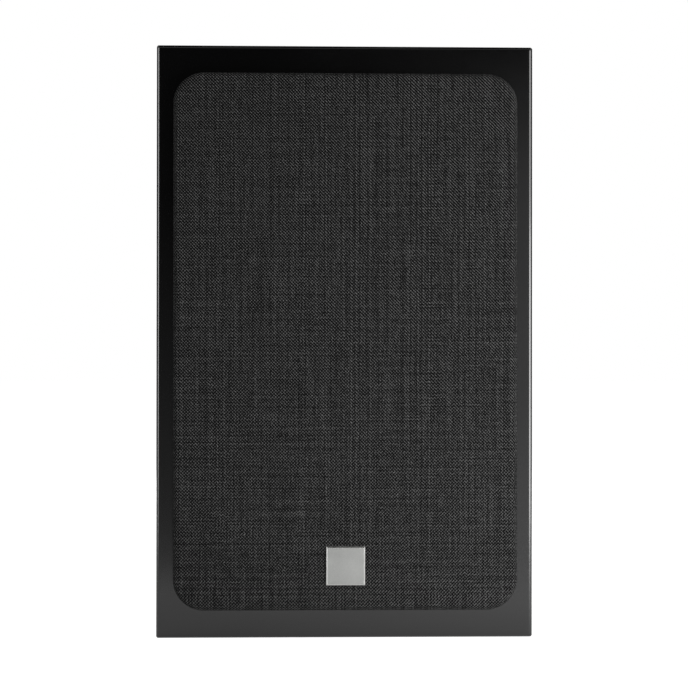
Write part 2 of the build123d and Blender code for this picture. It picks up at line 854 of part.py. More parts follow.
with BuildPart() as tweeter_gasket:
    with BuildSketch(front_section(tweeter_z)):
        Polygon(
            ring(
                tweeter_cutout_radius + gasket_inset,
                tweeter_plate_radius - gasket_inset,
                tweeter_plate_thickness,
                tweeter_rebate_depth,
            ),
            align=None,
        )
    revolve(axis=depth_axis(tweeter_z))
    with Locations(front_plane(tweeter_z)):
        with PolarLocations(tweeter_screw_circle, tweeter_screw_count, start_angle=45):
            Hole(tweeter_screw_radius + screw_clearance, tweeter_rebate_depth)
save(tweeter_gasket, "tweeter_gasket")

dome_inner_radius = tweeter_dome_radius - tweeter_dome_wall
dome_inner_height = tweeter_dome_height - tweeter_dome_wall
with BuildPart() as tweeter_dome:
    with BuildSketch(front_section(tweeter_z)):
        with BuildLine():
            outer_edge = (tweeter_dome_radius, tweeter_diaphragm_depth)
            inner_edge = (dome_inner_radius, tweeter_diaphragm_depth)
            outer_top = (0, tweeter_diaphragm_depth - tweeter_dome_height)
            inner_top = (0, tweeter_diaphragm_depth - dome_inner_height)
            ThreePointArc(
                outer_edge,
                cap_point(
                    tweeter_dome_radius, tweeter_diaphragm_depth, tweeter_dome_height, tweeter_dome_radius / 2
                ),
                outer_top,
            )
            Line(outer_top, inner_top)
            ThreePointArc(
                inner_top,
                cap_point(
                    dome_inner_radius, tweeter_diaphragm_depth, dome_inner_height, dome_inner_radius / 2
                ),
                inner_edge,
            )
            Line(inner_edge, outer_edge)
        make_face()
    revolve(axis=depth_axis(tweeter_z))
save(tweeter_dome, "tweeter_dome")

with BuildPart() as tweeter_surround:
    add(
        rolled_ring(
            tweeter_z,
            inner=tweeter_dome_radius,
            outer=tweeter_rim_radius,
            first=tweeter_roll_start,
            width=tweeter_roll_width,
            count=1,
            near=tweeter_hub_depth,
            wall=tweeter_surround_wall,
        )
    )
save(tweeter_surround, "tweeter_surround")

with BuildPart() as tweeter_voice_coil:
    with BuildSketch(front_section(tweeter_z)):
        Polygon(
            ring(
                tweeter_coil_bore,
                tweeter_dome_radius,
                tweeter_diaphragm_depth,
                tweeter_diaphragm_depth + tweeter_coil_length,
            ),
            align=None,
        )
    revolve(axis=depth_axis(tweeter_z))
save(tweeter_voice_coil, "tweeter_voice_coil")

with BuildPart() as tweeter_top_plate:
    with BuildSketch(front_section(tweeter_z)):
        Polygon(
            ring(tweeter_gap_radius, tweeter_top_plate_radius, tweeter_diaphragm_depth, tweeter_magnet_depth),
            align=None,
        )
    revolve(axis=depth_axis(tweeter_z))
save(tweeter_top_plate, "tweeter_top_plate")

with BuildPart() as tweeter_magnet:
    with BuildSketch(front_section(tweeter_z)):
        Polygon(
            ring(tweeter_magnet_bore, tweeter_magnet_radius, tweeter_magnet_depth, tweeter_yoke_depth),
            align=None,
        )
    revolve(axis=depth_axis(tweeter_z))
save(tweeter_magnet, "tweeter_magnet")

with BuildPart() as tweeter_yoke:
    with BuildSketch(front_section(tweeter_z)):
        Polygon(
            [
                (tweeter_pole_vent, tweeter_diaphragm_depth + tweeter_pole_drop),
                (tweeter_pole_radius, tweeter_diaphragm_depth + tweeter_pole_drop),
                (tweeter_pole_radius, tweeter_yoke_depth),
                (tweeter_cup_radius, tweeter_yoke_depth),
                (tweeter_cup_radius, tweeter_cup_front),
                (tweeter_pole_vent, tweeter_cup_front),
            ],
            align=None,
        )
    revolve(axis=depth_axis(tweeter_z))
save(tweeter_yoke, "tweeter_yoke")

with BuildPart() as tweeter_rear_cup:
    with BuildSketch(front_section(tweeter_z)):
        Polygon(
            [
                (tweeter_cup_radius, tweeter_cup_front),
                (tweeter_cup_radius, tweeter_cup_rear),
                (0, tweeter_cup_rear),
                (0, tweeter_cup_rear - tweeter_cup_wall),
                (tweeter_cup_radius - tweeter_cup_wall, tweeter_cup_rear - tweeter_cup_wall),
                (tweeter_cup_radius - tweeter_cup_wall, tweeter_cup_front),
            ],
            align=None,
        )
    revolve(axis=depth_axis(tweeter_z))
save(tweeter_rear_cup, "tweeter_rear_cup")

with BuildPart() as tweeter_terminal_strip:
    add(terminal_strip(rear_plane(tweeter_z, cabinet_depth - tweeter_cup_rear)))
save(tweeter_terminal_strip, "tweeter_terminal_strip")

with BuildPart(front_plane(tweeter_z, tweeter_head_height)) as tweeter_screws:
    with PolarLocations(tweeter_screw_circle, tweeter_screw_count, start_angle=45):
        add(screw(tweeter_head_radius, tweeter_head_height, tweeter_screw_radius, tweeter_screw_length))
save(tweeter_screws, "tweeter_screws")

# Grille

with BuildPart() as grille_frame:
    with BuildSketch(front_plane(grille_z, -cloth_thickness)):
        RectangleRounded(frame_width, frame_height, frame_corner_radius)
    extrude(amount=frame_thickness)
    fillet(grille_frame.faces().sort_by(Axis.Y)[0].edges(), frame_edge_radius)
    with BuildSketch(front_plane(0, -cloth_thickness)):
        with Locations((0, window_bottom + lower_window_height / 2)):
            RectangleRounded(window_width, lower_window_height, rail_corner_radius)
        with Locations((0, window_top - upper_window_height / 2)):
            RectangleRounded(window_width, upper_window_height, rail_corner_radius)
    extrude(amount=frame_thickness, mode=Mode.SUBTRACT)
    with BuildSketch(front_plane(between_drivers_z, -cloth_thickness)):
        Rectangle(window_width, crossbar_width)
    extrude(amount=frame_thickness - crossbar_thickness, mode=Mode.SUBTRACT)
    with BuildSketch(front_plane(badge_height - badge_land_drop, cloth_thickness - grille_thickness)):
        RectangleRounded(badge_land_size, badge_land_size, badge_land_radius)
    extrude(amount=-badge_land_thickness)
    with Locations(front_plane(0, -cloth_thickness - peg_root_depth)):
        with Locations(*peg_spots):
            Hole(peg_root_radius, peg_root_depth)
    with Locations(front_plane(0, cloth_thickness - grille_thickness)):
        with Locations(*badge_pin_spots):
            Hole(badge_pin_radius + badge_pin_clearance, badge_land_thickness)
save(grille_frame, "grille_frame")

with BuildPart() as grille_cloth:
    with BuildSketch(front_plane(grille_z)):
        RectangleRounded(grille_width, grille_height, grille_corner_radius)
    extrude(amount=grille_thickness)
    fillet(grille_cloth.faces().sort_by(Axis.Y)[0].edges(), grille_edge_radius)
    with BuildPart(mode=Mode.PRIVATE) as frame_space:
        with BuildSketch(front_plane(grille_z, -cloth_thickness)):
            RectangleRounded(frame_width, frame_height, frame_corner_radius)
        extrude(amount=frame_thickness)
        fillet(frame_space.faces().sort_by(Axis.Y)[0].edges(), frame_edge_radius)
    add(frame_space.part, mode=Mode.SUBTRACT)
    with BuildSketch(front_plane(grille_z)):
        RectangleRounded(
            frame_width - 2 * cloth_hem, frame_height - 2 * cloth_hem, frame_corner_radius - cloth_hem
        )
    extrude(amount=cloth_thickness, mode=Mode.SUBTRACT)
    with Locations(front_plane(0)):
        with Locations(*[(x, z, cloth_thickness) for x, z in peg_spots]):
            Hole(peg_root_radius + cup_clearance, cloth_thickness)
        with Locations(*[(x, z, grille_thickness) for x, z in badge_pin_spots]):
            Hole(badge_pin_radius + cup_clearance, cloth_thickness)
save(grille_cloth, "grille_cloth")

with BuildPart() as peg:
    with BuildSketch(Plane.XZ):
        Polygon(
            [
                (0, cloth_thickness + peg_root_depth),
                (peg_root_radius, cloth_thickness + peg_root_depth),
                (peg_root_radius, cloth_thickness),
                (peg_radius, cloth_thickness),
                (peg_radius, peg_tip_radius - peg_length),
                (peg_radius - peg_tip_radius, -peg_length),
                (0, -peg_length),
            ],
            align=None,
        )
    revolve(axis=Axis.Z)

with BuildPart(front_plane(0)) as grille_pegs:
    with Locations(*peg_spots):
        add(peg.part)
save(grille_pegs, "grille_pegs")

with BuildPart() as cup:
    with BuildSketch(Plane.XZ):
        Polygon(
            [
                (cup_bore, 0),
                (cup_radius, 0),
                (cup_radius, -cup_depth),
                (0, -cup_depth),
                (0, cup_floor - cup_depth),
                (cup_bore, cup_floor - cup_depth),
            ],
            align=None,
        )
    revolve(axis=Axis.Z)

with BuildPart(front_plane(0)) as grille_cups:
    with Locations(*peg_spots):
        add(cup.part)
save(grille_cups, "grille_cups")

with BuildPart() as badge_plate:
    with BuildSketch(front_plane(badge_height, -grille_thickness)):
        Rectangle(badge_size, badge_size)
    extrude(amount=badge_thickness)
    chamfer(badge_plate.faces().sort_by(Axis.Y)[0].edges(), badge_chamfer)
    with BuildSketch(front_plane(0, -grille_thickness)):
        with Locations(*badge_pin_spots):
            Circle(badge_pin_radius)
    extrude(amount=-badge_pin_length)
save(badge_plate, "badge_plate")

# Rear fittings

port_outer = port_bore + port_wall
port_mouth = port_bore + port_flare_radius
flare_middle = (
    port_mouth - port_flare_radius * cos(radians(45)),
    port_flare_radius - port_flange_thickness - port_flare_radius * sin(radians(45)),
)
with BuildPart() as port_tube:
    with BuildSketch(rear_section(port_z)):
        with BuildLine():
            mouth_edge = (port_mouth, -port_flange_thickness)
            bore_edge = (port_bore, port_flare_radius - port_flange_thickness)
            ThreePointArc(bore_edge, flare_middle, mouth_edge)
            Polyline(
                mouth_edge,
                (port_flange_radius, -port_flange_thickness),
                (port_flange_radius, 0),
                (port_sleeve_radius, 0),
                (port_sleeve_radius, port_sleeve_length),
                (port_outer, port_flare_radius),
                (port_outer, port_length),
                (port_bore, port_length),
                bore_edge,
            )
        make_face()
    revolve(axis=depth_axis(port_z))
save(port_tube, "port_tube")

with BuildPart() as terminal_cup:
    with BuildSketch(rear_plane(terminal_height, -gasket_thickness)):
        RectangleRounded(terminal_width, terminal_tall, terminal_flange_radius)
    extrude(amount=terminal_flange)
    fillet(terminal_cup.faces().sort_by(Axis.Y)[-1].edges(), terminal_flange / 2)
    with BuildSketch(rear_plane(terminal_height, -gasket_thickness)):
        RectangleRounded(cup_body_width, cup_body_tall, cup_body_radius)
    extrude(amount=-gasket_thickness - cup_floor_rear)
    with BuildSketch(rear_plane(terminal_height, recess_floor_depth)):
        RectangleRounded(recess_width, recess_tall, terminal_recess_radius)
    extrude(amount=terminal_recess, mode=Mode.SUBTRACT)
    with Locations(rear_plane(terminal_height, recess_floor_depth)):
        with GridLocations(post_spacing, 0, 2, 1):
            Hole(post_shank_radius + post_clearance, terminal_floor)
    with Locations(rear_plane(terminal_height, -terminal_seat)):
        with GridLocations(
            terminal_width - 2 * terminal_screw_inset, terminal_tall - 2 * terminal_screw_inset, 2, 2
        ):
            Hole(terminal_screw_radius + screw_clearance, terminal_flange)
save(terminal_cup, "terminal_cup")

with BuildPart() as terminal_gasket:
    with BuildSketch(rear_plane(terminal_height)):
        RectangleRounded(
            terminal_width - 2 * gasket_inset, terminal_tall - 2 * gasket_inset, terminal_flange_radius
        )
        RectangleRounded(
            cup_body_width + 2 * terminal_hole_clearance,
            cup_body_tall + 2 * terminal_hole_clearance,
            cup_body_radius + terminal_hole_clearance,
            mode=Mode.SUBTRACT,
        )
        with GridLocations(
            terminal_width - 2 * terminal_screw_inset, terminal_tall - 2 * terminal_screw_inset, 2, 2
        ):
            Circle(terminal_screw_radius + screw_clearance, mode=Mode.SUBTRACT)
    extrude(amount=gasket_thickness)
save(terminal_gasket, "terminal_gasket")

with BuildPart(rear_plane(terminal_height, -terminal_seat)) as terminal_screws:
    with GridLocations(
        terminal_width - 2 * terminal_screw_inset, terminal_tall - 2 * terminal_screw_inset, 2, 2
    ):
        add(screw(terminal_head_radius, terminal_head_height, terminal_screw_radius, terminal_screw_length))
save(terminal_screws, "terminal_screws")

# Seen from behind, the red post is on the right, which is the -X side
for side, colour in ((-1, "red"), (1, "black")):
    post_x = side * post_spacing / 2
    post_section = rear_section(terminal_height, post_x)
    post_axis = depth_axis(terminal_height, post_x)

    with BuildPart() as post_stud:
        with BuildSketch(post_section):
            Polygon(
                [
                    (0, post_end_depth + post_socket_depth),
                    (post_socket_radius, post_end_depth + post_socket_depth),
                    (post_socket_radius, post_end_depth),
                    (post_thread_radius, post_end_depth),
                    (post_thread_radius, post_face_depth),
                    (post_base_radius, post_face_depth),
                    (post_base_radius, recess_floor_depth),
                    (post_shank_radius, recess_floor_depth),
                    (post_shank_radius, recess_floor_depth + post_shank_length),
                    (0, recess_floor_depth + post_shank_length),
                ],
                align=None,
            )
        revolve(axis=post_axis)
        with BuildSketch(
            Plane(
                origin=(post_x, rear_y - post_face_depth + post_wire_hole_height, terminal_height),
                x_dir=(1, 0, 0),
                z_dir=(0, 0, 1),
            )
        ):
            Circle(post_wire_hole_radius)
        extrude(amount=post_thread_radius, both=True, mode=Mode.SUBTRACT)
    save(post_stud, f"{colour}_post_stud")

    with BuildPart() as post_collar:
        with BuildSketch(post_section):
            Polygon(ring(knob_inner_radius, post_base_radius, knob_near_depth, post_face_depth), align=None)
        revolve(axis=post_axis)
    save(post_collar, f"{colour}_post_collar")

    with BuildPart() as post_knob:
        with BuildSketch(post_section):
            Polygon(
                [
                    (knob_inner_radius, knob_near_depth),
                    (knob_radius, knob_near_depth),
                    (knob_radius, knob_far_depth + knob_edge_chamfer),
                    (knob_radius - knob_edge_chamfer, knob_far_depth),
                    (knob_mouth_radius, knob_far_depth),
                    (knob_mouth_radius, knob_far_depth + knob_end_thickness),
                    (knob_inner_radius, knob_far_depth + knob_end_thickness),
                ],
                align=None,
            )
        revolve(axis=post_axis)
        with BuildSketch(rear_plane(terminal_height, knob_near_depth - collar_thickness, post_x)):
            with PolarLocations(knob_radius + knob_flute_radius / 2, knob_flutes):
                Circle(knob_flute_radius)
        extrude(amount=knob_near_depth - knob_far_depth, mode=Mode.SUBTRACT)
    save(post_knob, f"{colour}_post_knob")

with BuildPart() as post_tags:
    with BuildSketch(rear_plane(terminal_height, nut_depth)):
        with GridLocations(post_spacing, 0, 2, 1):
            Circle(tag_radius)
            with Locations((0, -tag_reach / 2)):
                Rectangle(tag_width, tag_reach)
            Circle(post_shank_radius + post_clearance, mode=Mode.SUBTRACT)
    extrude(amount=tag_thickness)
save(post_tags, "post_tags")

with BuildPart() as post_nuts:
    with BuildSketch(rear_plane(terminal_height, nut_depth)):
        with GridLocations(post_spacing, 0, 2, 1):
            RegularPolygon(nut_width / 2, 6, major_radius=False)
            Circle(post_shank_radius + pilot_clearance, mode=Mode.SUBTRACT)
    extrude(amount=-nut_thickness)
save(post_nuts, "post_nuts")

# Crossover on the cabinet's floor. Its parts are placed from the middle of the board.

with BuildPart() as crossover_board:
    with BuildSketch(Plane.XY.offset(board_bottom)):
        with Locations((0, board_y)):
            Rectangle(board_width, board_length)
        with Locations(*board_fixing_spots):
            Circle(board_screw_radius + screw_clearance, mode=Mode.SUBTRACT)
    extrude(amount=board_thickness)
save(crossover_board, "crossover_board")

with BuildPart() as crossover_fixings:
    with BuildSketch(Plane.XY.offset(panel_thickness)):
        with Locations(*board_fixing_spots):
            Circle(spacer_radius)
            Circle(board_screw_radius + screw_clearance, mode=Mode.SUBTRACT)
    extrude(amount=spacer_height)
    with Locations(*[(x, y, board_top) for x, y in board_fixing_spots]):
        add(screw(board_head_radius, board_head_height, board_screw_radius, board_screw_length))
save(crossover_fixings, "crossover_fixings")

woofer_inductor_spot = (-20.0, -15.0)
tweeter_inductor_spot = (26.0, 25.0)
capacitor_spots = [(-22.0, 20.0), (-22.0, 38.0), (22.0, -38.0)]
resistor_spots = [(20.0, -20.0), (20.0, -6.0)]

for name, spot, bore, radius, height in (
    (
        "woofer_inductor",
        woofer_inductor_spot,
        woofer_inductor_bore,
        woofer_inductor_radius,
        woofer_inductor_height,
    ),
    (
        "tweeter_inductor",
        tweeter_inductor_spot,
        tweeter_inductor_bore,
        tweeter_inductor_radius,
        tweeter_inductor_height,
    ),
):
    with BuildPart() as inductor:
        with BuildSketch(Plane.XY.offset(board_top)):
            with Locations((spot[0], board_y + spot[1])):
                Circle(radius)
                Circle(bore, mode=Mode.SUBTRACT)
        extrude(amount=height)
    save(inductor, name)

with BuildPart() as crossover_capacitors:
    for x, y in capacitor_spots:
        with BuildSketch(Plane.YZ.offset(x - capacitor_length / 2)):
            with Locations((board_y + y, board_top + capacitor_radius)):
                Circle(capacitor_radius)
        extrude(amount=capacitor_length)
    chamfer(crossover_capacitors.edges().filter_by(GeomType.CIRCLE), capacitor_edge)
save(crossover_capacitors, "crossover_capacitors")

with BuildPart() as crossover_resistors:
    with BuildSketch(Plane.XY.offset(board_top)):
        with Locations(*[(x, board_y + y) for x, y in resistor_spots]):
            Rectangle(resistor_length, resistor_size)
    extrude(amount=resistor_size)
    chamfer(crossover_resistors.faces().filter_by(Axis.Z).sort_by(Axis.Z)[-2:].edges(), resistor_edge)
save(crossover_resistors, "crossover_resistors")

# Inner wiring: each lead is a pair of wires from the board to a pair of tabs

tag_face_y = rear_y - nut_depth
tag_solder_z = terminal_height - tag_reach + tag_width / 2
with BuildPart() as input_lead:
    for side in (-1, 1):
        add(
            wire(
                [
                    (side * post_spacing / 2, tag_face_y, tag_solder_z),
                    (side * post_spacing / 2, tag_face_y - 15, tag_solder_z),
                    (side * 4, board_rear_y - 6, tag_solder_z - 14),
                    (side * 4, board_rear_y - 6, board_top),
                ],
                lead_radius,
            )
        )
save(input_lead, "input_lead")

woofer_tab_y = front_y + woofer_motor_depth + strip_thickness + strip_tab_thickness
woofer_tab_z = woofer_z + woofer_strip_radius + strip_height / 2 + strip_tab_reach - strip_tab_width / 2
woofer_lead_y = front_y + woofer_motor_rear + 14
with BuildPart() as woofer_lead:
    for side in (-1, 1):
        add(
            wire(
                [
                    (side * 4, board_rear_y - board_length + 8, board_top),
                    (side * 4, board_rear_y - board_length + 8, board_top + 26),
                    (side * 4, woofer_lead_y, board_top + 58),
                    (side * 4, woofer_lead_y, woofer_tab_z - 30),
                    (side * strip_pitch / 2, woofer_lead_y - 12, woofer_tab_z),
                    (side * strip_pitch / 2, woofer_tab_y, woofer_tab_z),
                ],
                lead_radius,
            )
        )
save(woofer_lead, "woofer_lead")

tweeter_tab_y = front_y + tweeter_cup_rear + strip_thickness + strip_tab_thickness
tweeter_tab_z = tweeter_z + strip_height / 2 + strip_tab_reach - strip_tab_width / 2
tweeter_lead_x = (shelf_bar + shelf_window_width) / 2
with BuildPart() as tweeter_lead:
    for side in (-1, 1):
        add(
            wire(
                [
                    (40 + side * 2.5, board_y, board_top),
                    (40 + side * 2.5, board_y, board_top + 28),
                    (tweeter_lead_x + side * 2.5, board_y - 14, board_top + 70),
                    (tweeter_lead_x + side * 2.5, board_y - 26, shelf_z - 30),
                    (tweeter_lead_x + side * 2.5, board_y - 44, shelf_z + 26),
                    (side * strip_pitch / 2 + 16, tweeter_tab_y + 40, tweeter_tab_z - 4),
                    (side * strip_pitch / 2, tweeter_tab_y + 20, tweeter_tab_z),
                    (side * strip_pitch / 2, tweeter_tab_y, tweeter_tab_z),
                ],
                lead_radius,
            )
        )
save(tweeter_lead, "tweeter_lead")
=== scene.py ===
"""Looks of a two-way bookshelf speaker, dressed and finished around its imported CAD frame.

Sizes are in metres. The front faces -Y, +Z is up, and the origin is the middle of the cabinet's bottom.
"""

import logging
import math
from contextlib import contextmanager
from dataclasses import dataclass
from enum import Enum
from typing import Callable, Iterator, Mapping, Optional, Sequence, Union

import bmesh
import bpy
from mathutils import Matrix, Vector
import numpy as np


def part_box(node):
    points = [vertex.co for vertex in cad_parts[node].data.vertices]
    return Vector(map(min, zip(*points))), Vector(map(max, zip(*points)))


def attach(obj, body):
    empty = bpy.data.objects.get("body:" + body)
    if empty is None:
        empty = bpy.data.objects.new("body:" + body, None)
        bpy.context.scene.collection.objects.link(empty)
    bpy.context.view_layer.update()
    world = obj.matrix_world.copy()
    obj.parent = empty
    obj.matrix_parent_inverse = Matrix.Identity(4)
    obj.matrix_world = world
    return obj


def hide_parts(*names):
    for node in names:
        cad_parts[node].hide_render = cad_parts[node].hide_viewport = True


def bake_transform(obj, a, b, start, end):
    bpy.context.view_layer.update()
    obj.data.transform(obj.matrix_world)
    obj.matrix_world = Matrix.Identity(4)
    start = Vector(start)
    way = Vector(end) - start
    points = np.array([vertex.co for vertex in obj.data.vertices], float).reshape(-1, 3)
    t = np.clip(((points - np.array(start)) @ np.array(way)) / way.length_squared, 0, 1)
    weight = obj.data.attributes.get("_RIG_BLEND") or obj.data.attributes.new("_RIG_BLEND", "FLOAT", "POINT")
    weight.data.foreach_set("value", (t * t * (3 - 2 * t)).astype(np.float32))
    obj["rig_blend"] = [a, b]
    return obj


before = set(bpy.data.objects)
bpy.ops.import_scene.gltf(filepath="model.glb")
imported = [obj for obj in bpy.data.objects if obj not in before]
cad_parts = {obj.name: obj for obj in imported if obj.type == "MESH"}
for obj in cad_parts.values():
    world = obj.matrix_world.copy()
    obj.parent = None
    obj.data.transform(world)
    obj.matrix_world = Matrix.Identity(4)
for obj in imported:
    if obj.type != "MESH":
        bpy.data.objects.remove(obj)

log = logging.getLogger("speaker")

Point = tuple[float, float, float]
Colour = tuple[float, float, float]
Range = tuple[float, float]
Profile = list[tuple[float, float]]

MM = 0.001
FRONT_Y = -127.5 * MM
WOOFER_Z = 134.5 * MM
TWEETER_Z = 286.5 * MM

RIGHT = Vector((1.0, 0.0, 0.0))
BACK = Vector((0.0, 1.0, 0.0))
UP = Vector((0.0, 0.0, 1.0))

# Points closer than WELD are one point, and a height closer than FLAT lies on its plane.
WELD = 0.005 * MM
FLAT = 0.001 * MM

# Edges that turn by less than these angles, in degrees, are shaded smooth.
PLAIN_SMOOTH = 40.0
CLOTH_SMOOTH = 50.0
WIRE_SMOOTH = 60.0
COIL_SMOOTH = 70.0
PAD_SMOOTH = 80.0


class Spread(Enum):
    """How far soft noise has to stray from a half to reach the ends of a range."""

    NARROW = (0.36, 0.64)
    MIDDLE = (0.35, 0.65)
    BROAD = (0.34, 0.66)
    WIDE = (0.3, 0.7)


class Value:
    """A shader socket. Arithmetic on it adds Math nodes to its graph."""

    def __init__(self, graph: "ShaderGraph", socket: bpy.types.NodeSocket) -> None:
        """Keep the socket and the graph that it belongs to."""
        self.graph = graph
        self.socket = socket

    def _math(self, operation: str, *values: "Number") -> "Value":
        """Add one Math node on the given values, in their order."""
        return self.graph.add("ShaderNodeMath", {"operation": operation}, dict(enumerate(values)))

    def __add__(self, other: "Number") -> "Value":
        """Sum of two values."""
        return self._math("ADD", self, other)

    def __radd__(self, other: "Number") -> "Value":
        """Sum with a plain number on the left."""
        return self._math("ADD", other, self)

    def __sub__(self, other: "Number") -> "Value":
        """Difference of two values."""
        return self._math("SUBTRACT", self, other)

    def __rsub__(self, other: "Number") -> "Value":
        """Difference from a plain number on the left."""
        return self._math("SUBTRACT", other, self)

    def __mul__(self, other: "Number") -> "Value":
        """Product of two values."""
        return self._math("MULTIPLY", self, other)

    def __rmul__(self, other: "Number") -> "Value":
        """Product with a plain number on the left."""
        return self._math("MULTIPLY", other, self)

    def __truediv__(self, other: "Number") -> "Value":
        """Quotient of two values."""
        return self._math("DIVIDE", self, other)

    def __mod__(self, other: "Number") -> "Value":
        """Remainder that is never negative."""
        return self._math("FLOORED_MODULO", self, other)

    def floor(self) -> "Value":
        """Next whole number below."""
        return self._math("FLOOR", self)

    def fract(self) -> "Value":
        """Part above the next whole number below."""
        return self._math("FRACT", self)

    def cosine(self) -> "Value":
        """Cosine of an angle in radians."""
        return self._math("COSINE", self)

    def above(self, limit: "Number") -> "Value":
        """1 where the value is above a limit, or else 0."""
        return self._math("GREATER_THAN", self, limit)

    def largest(self, other: "Number") -> "Value":
        """The larger of two values."""
        return self._math("MAXIMUM", self, other)

    def eased(self, low: float, high: float, start: float = 0.0, end: float = 1.0) -> "Value":
        """Carry a range over to another one with soft ends.

        Args:
            low: Value that gives start.
            high: Value that gives end.
            start: Result at and below low.
            end: Result at and above high.

        Returns:
            The eased value.
        """
        sockets = {"Value": self, "From Min": low, "From Max": high, "To Min": start, "To Max": end}
        return self.graph.add("ShaderNodeMapRange", {"interpolation_type": "SMOOTHSTEP"}, sockets)

    def spread(self, spread: Spread, start: float = 0.0, end: float = 1.0) -> "Value":
        """Stretch soft noise over a range."""
        return self.eased(*spread.value, start, end)

    def blend(self, other: "Value", share: float) -> "Value":
        """Mix with another value, which gets the given share."""
        return self * (1.0 - share) + other * share


Number = Union[Value, float]
Input = Union[Value, float, Sequence[float]]


class ShaderGraph:
    """The node tree of one material or world."""

    # The colour sockets of a Mix node go by number, because its other sockets have the same names.
    MIX_FIRST = 6
    MIX_SECOND = 7
    MIX_RESULT = 2

    def __init__(self, owner: Union[bpy.types.Material, bpy.types.World]) -> None:
        """Start from an empty tree.

        Args:
            owner: The material or world that gets the tree.
        """
        owner.use_nodes = True
        self.tree = owner.node_tree
        self.tree.nodes.clear()

    def node(
        self,
        kind: str,
        settings: Optional[Mapping[str, object]] = None,
        sockets: Optional[Mapping[Union[str, int], Input]] = None,
    ) -> bpy.types.Node:
        """Add a node, set it, and fill its sockets.

        Args:
            kind: The node's type.
            settings: Its own settings, which are set first; "stops" are a ramp's places and colours.
            sockets: Numbers, colours or links for its sockets, by name or number.

        Returns:
            The node.
        """
        node = self.tree.nodes.new(kind)
        for key, setting in (settings or {}).items():
            if key == "stops":
                self._set_stops(node.color_ramp, setting)
            else:
                setattr(node, key, setting)
        for key, value in (sockets or {}).items():
            if isinstance(value, Value):
                self.tree.links.new(value.socket, node.inputs[key])
            else:
                node.inputs[key].default_value = value
        return node

    def add(
        self,
        kind: str,
        settings: Optional[Mapping[str, object]] = None,
        sockets: Optional[Mapping[Union[str, int], Input]] = None,
        output: Union[str, int] = 0,
    ) -> Value:
        """Add a node and hand back one of its outputs.

        Args:
            kind: The node's type.
            settings: Its own settings.
            sockets: Numbers, colours or links for its sockets.
            output: The output, by name or number.

        Returns:
            The chosen output.
        """
        return Value(self, self.node(kind, settings, sockets).outputs[output])

    def end(self, surface: Value, kind: str = "ShaderNodeOutputMaterial") -> None:
        """Close the tree with its output node."""
        self.node(kind, {}, {"Surface": surface})

    @staticmethod
    def _set_stops(ramp: bpy.types.ColorRamp, stops: Sequence[tuple[float, Colour]]) -> None:
        """Give a colour ramp its stops, in rising order.

        Args:
            ramp: The ramp.
            stops: Places and colours, in rising order.
        """
        while len(ramp.elements) < len(stops):
            ramp.elements.new(1.0)
        for element, (place, colour) in zip(ramp.elements, stops):
            element.position = place
            element.color = (*colour, 1.0)

    def place(self, stretch: Point = (1.0, 1.0, 1.0)) -> Value:
        """Object coordinates in metres, stretched along the axes."""
        coordinates = self.add("ShaderNodeTexCoord", output="Object")
        return self.add("ShaderNodeMapping", {}, {"Vector": coordinates, "Scale": stretch})

    def split(self, vector: Value) -> tuple[Value, Value, Value]:
        """The three numbers of a vector."""
        node = self.node("ShaderNodeSeparateXYZ", {}, {0: vector})
        return tuple(Value(self, socket) for socket in node.outputs)

    def join(self, x: Number, y: Number, z: Number = 0.0) -> Value:
        """A vector of three numbers."""
        return self.add("ShaderNodeCombineXYZ", {}, {0: x, 1: y, 2: z})

    def noise(self, vector: Value, scale: float, detail: float = 2.0, rough: float = 0.5) -> Value:
        """Soft noise around a half, with so many waves a metre."""
        sockets = {"Vector": vector, "Scale": scale, "Detail": detail, "Roughness": rough}
        return self.add("ShaderNodeTexNoise", {}, sockets)

    def dots(self, vector: Value, scale: float) -> Value:
        """Distance from scattered points, in cells."""
        return self.add("ShaderNodeTexVoronoi", {}, {"Vector": vector, "Scale": scale}, "Distance")

    def hash(self, vector: Value) -> Value:
        """A number from 0 to 1 that is another one for every vector."""
        return self.add("ShaderNodeTexWhiteNoise", {}, {"Vector": vector}, "Value")

    def ramp(self, value: Value, stops: Sequence[tuple[float, Colour]]) -> Value:
        """A colour read from stops."""
        return self.add("ShaderNodeValToRGB", {"stops": stops}, {0: value})

    def mix(self, share: Value, first: Input, second: Input) -> Value:
        """A colour between two others.

        Args:
            share: The second colour's share.
            first: One colour.
            second: The other colour.

        Returns:
            The mixed colour.
        """
        colours = [c if isinstance(c, Value) else (*c, 1.0) for c in (first, second)]
        sockets = {"Factor": share, self.MIX_FIRST: colours[0], self.MIX_SECOND: colours[1]}
        return self.add("ShaderNodeMix", {"data_type": "RGBA"}, sockets, self.MIX_RESULT)

    def bump(self, height: Value, depth: float, under: Optional[Value] = None) -> Value:
        """A normal bent by a height from 0 to 1.

        Args:
            height: The height.
            depth: What a height of 1 stands for, in metres.
            under: A normal to bend further.

        Returns:
            The bent normal.
        """
        sockets = {"Strength": 1.0, "Distance": depth, "Height": height}
        if under is not None:
            sockets["Normal"] = under
        return self.add("ShaderNodeBump", {}, sockets)

    def ray(self, kind: str) -> Value:
        """1 on one kind of ray, or else 0."""
        return self.add("ShaderNodeLightPath", {}, {}, kind)

    def seen(self) -> Value:
        """1 for what the camera sees, directly, in gloss or through glass."""
        direct = self.ray("Is Camera Ray").largest(self.ray("Is Glossy Ray"))
        return direct.largest(self.ray("Is Transmission Ray"))

    def glow(self, tone: Value, strength: float = 1.0) -> Value:
        """A grey glow."""
        sockets = {"Color": self.join(tone, tone, tone), "Strength": strength}
        return self.add("ShaderNodeEmission", {}, sockets)

    def matt(self, grey: float) -> Value:
        """A grey matt paint."""
        return self.add("ShaderNodeBsdfDiffuse", {}, {"Color": (grey, grey, grey, 1.0)})

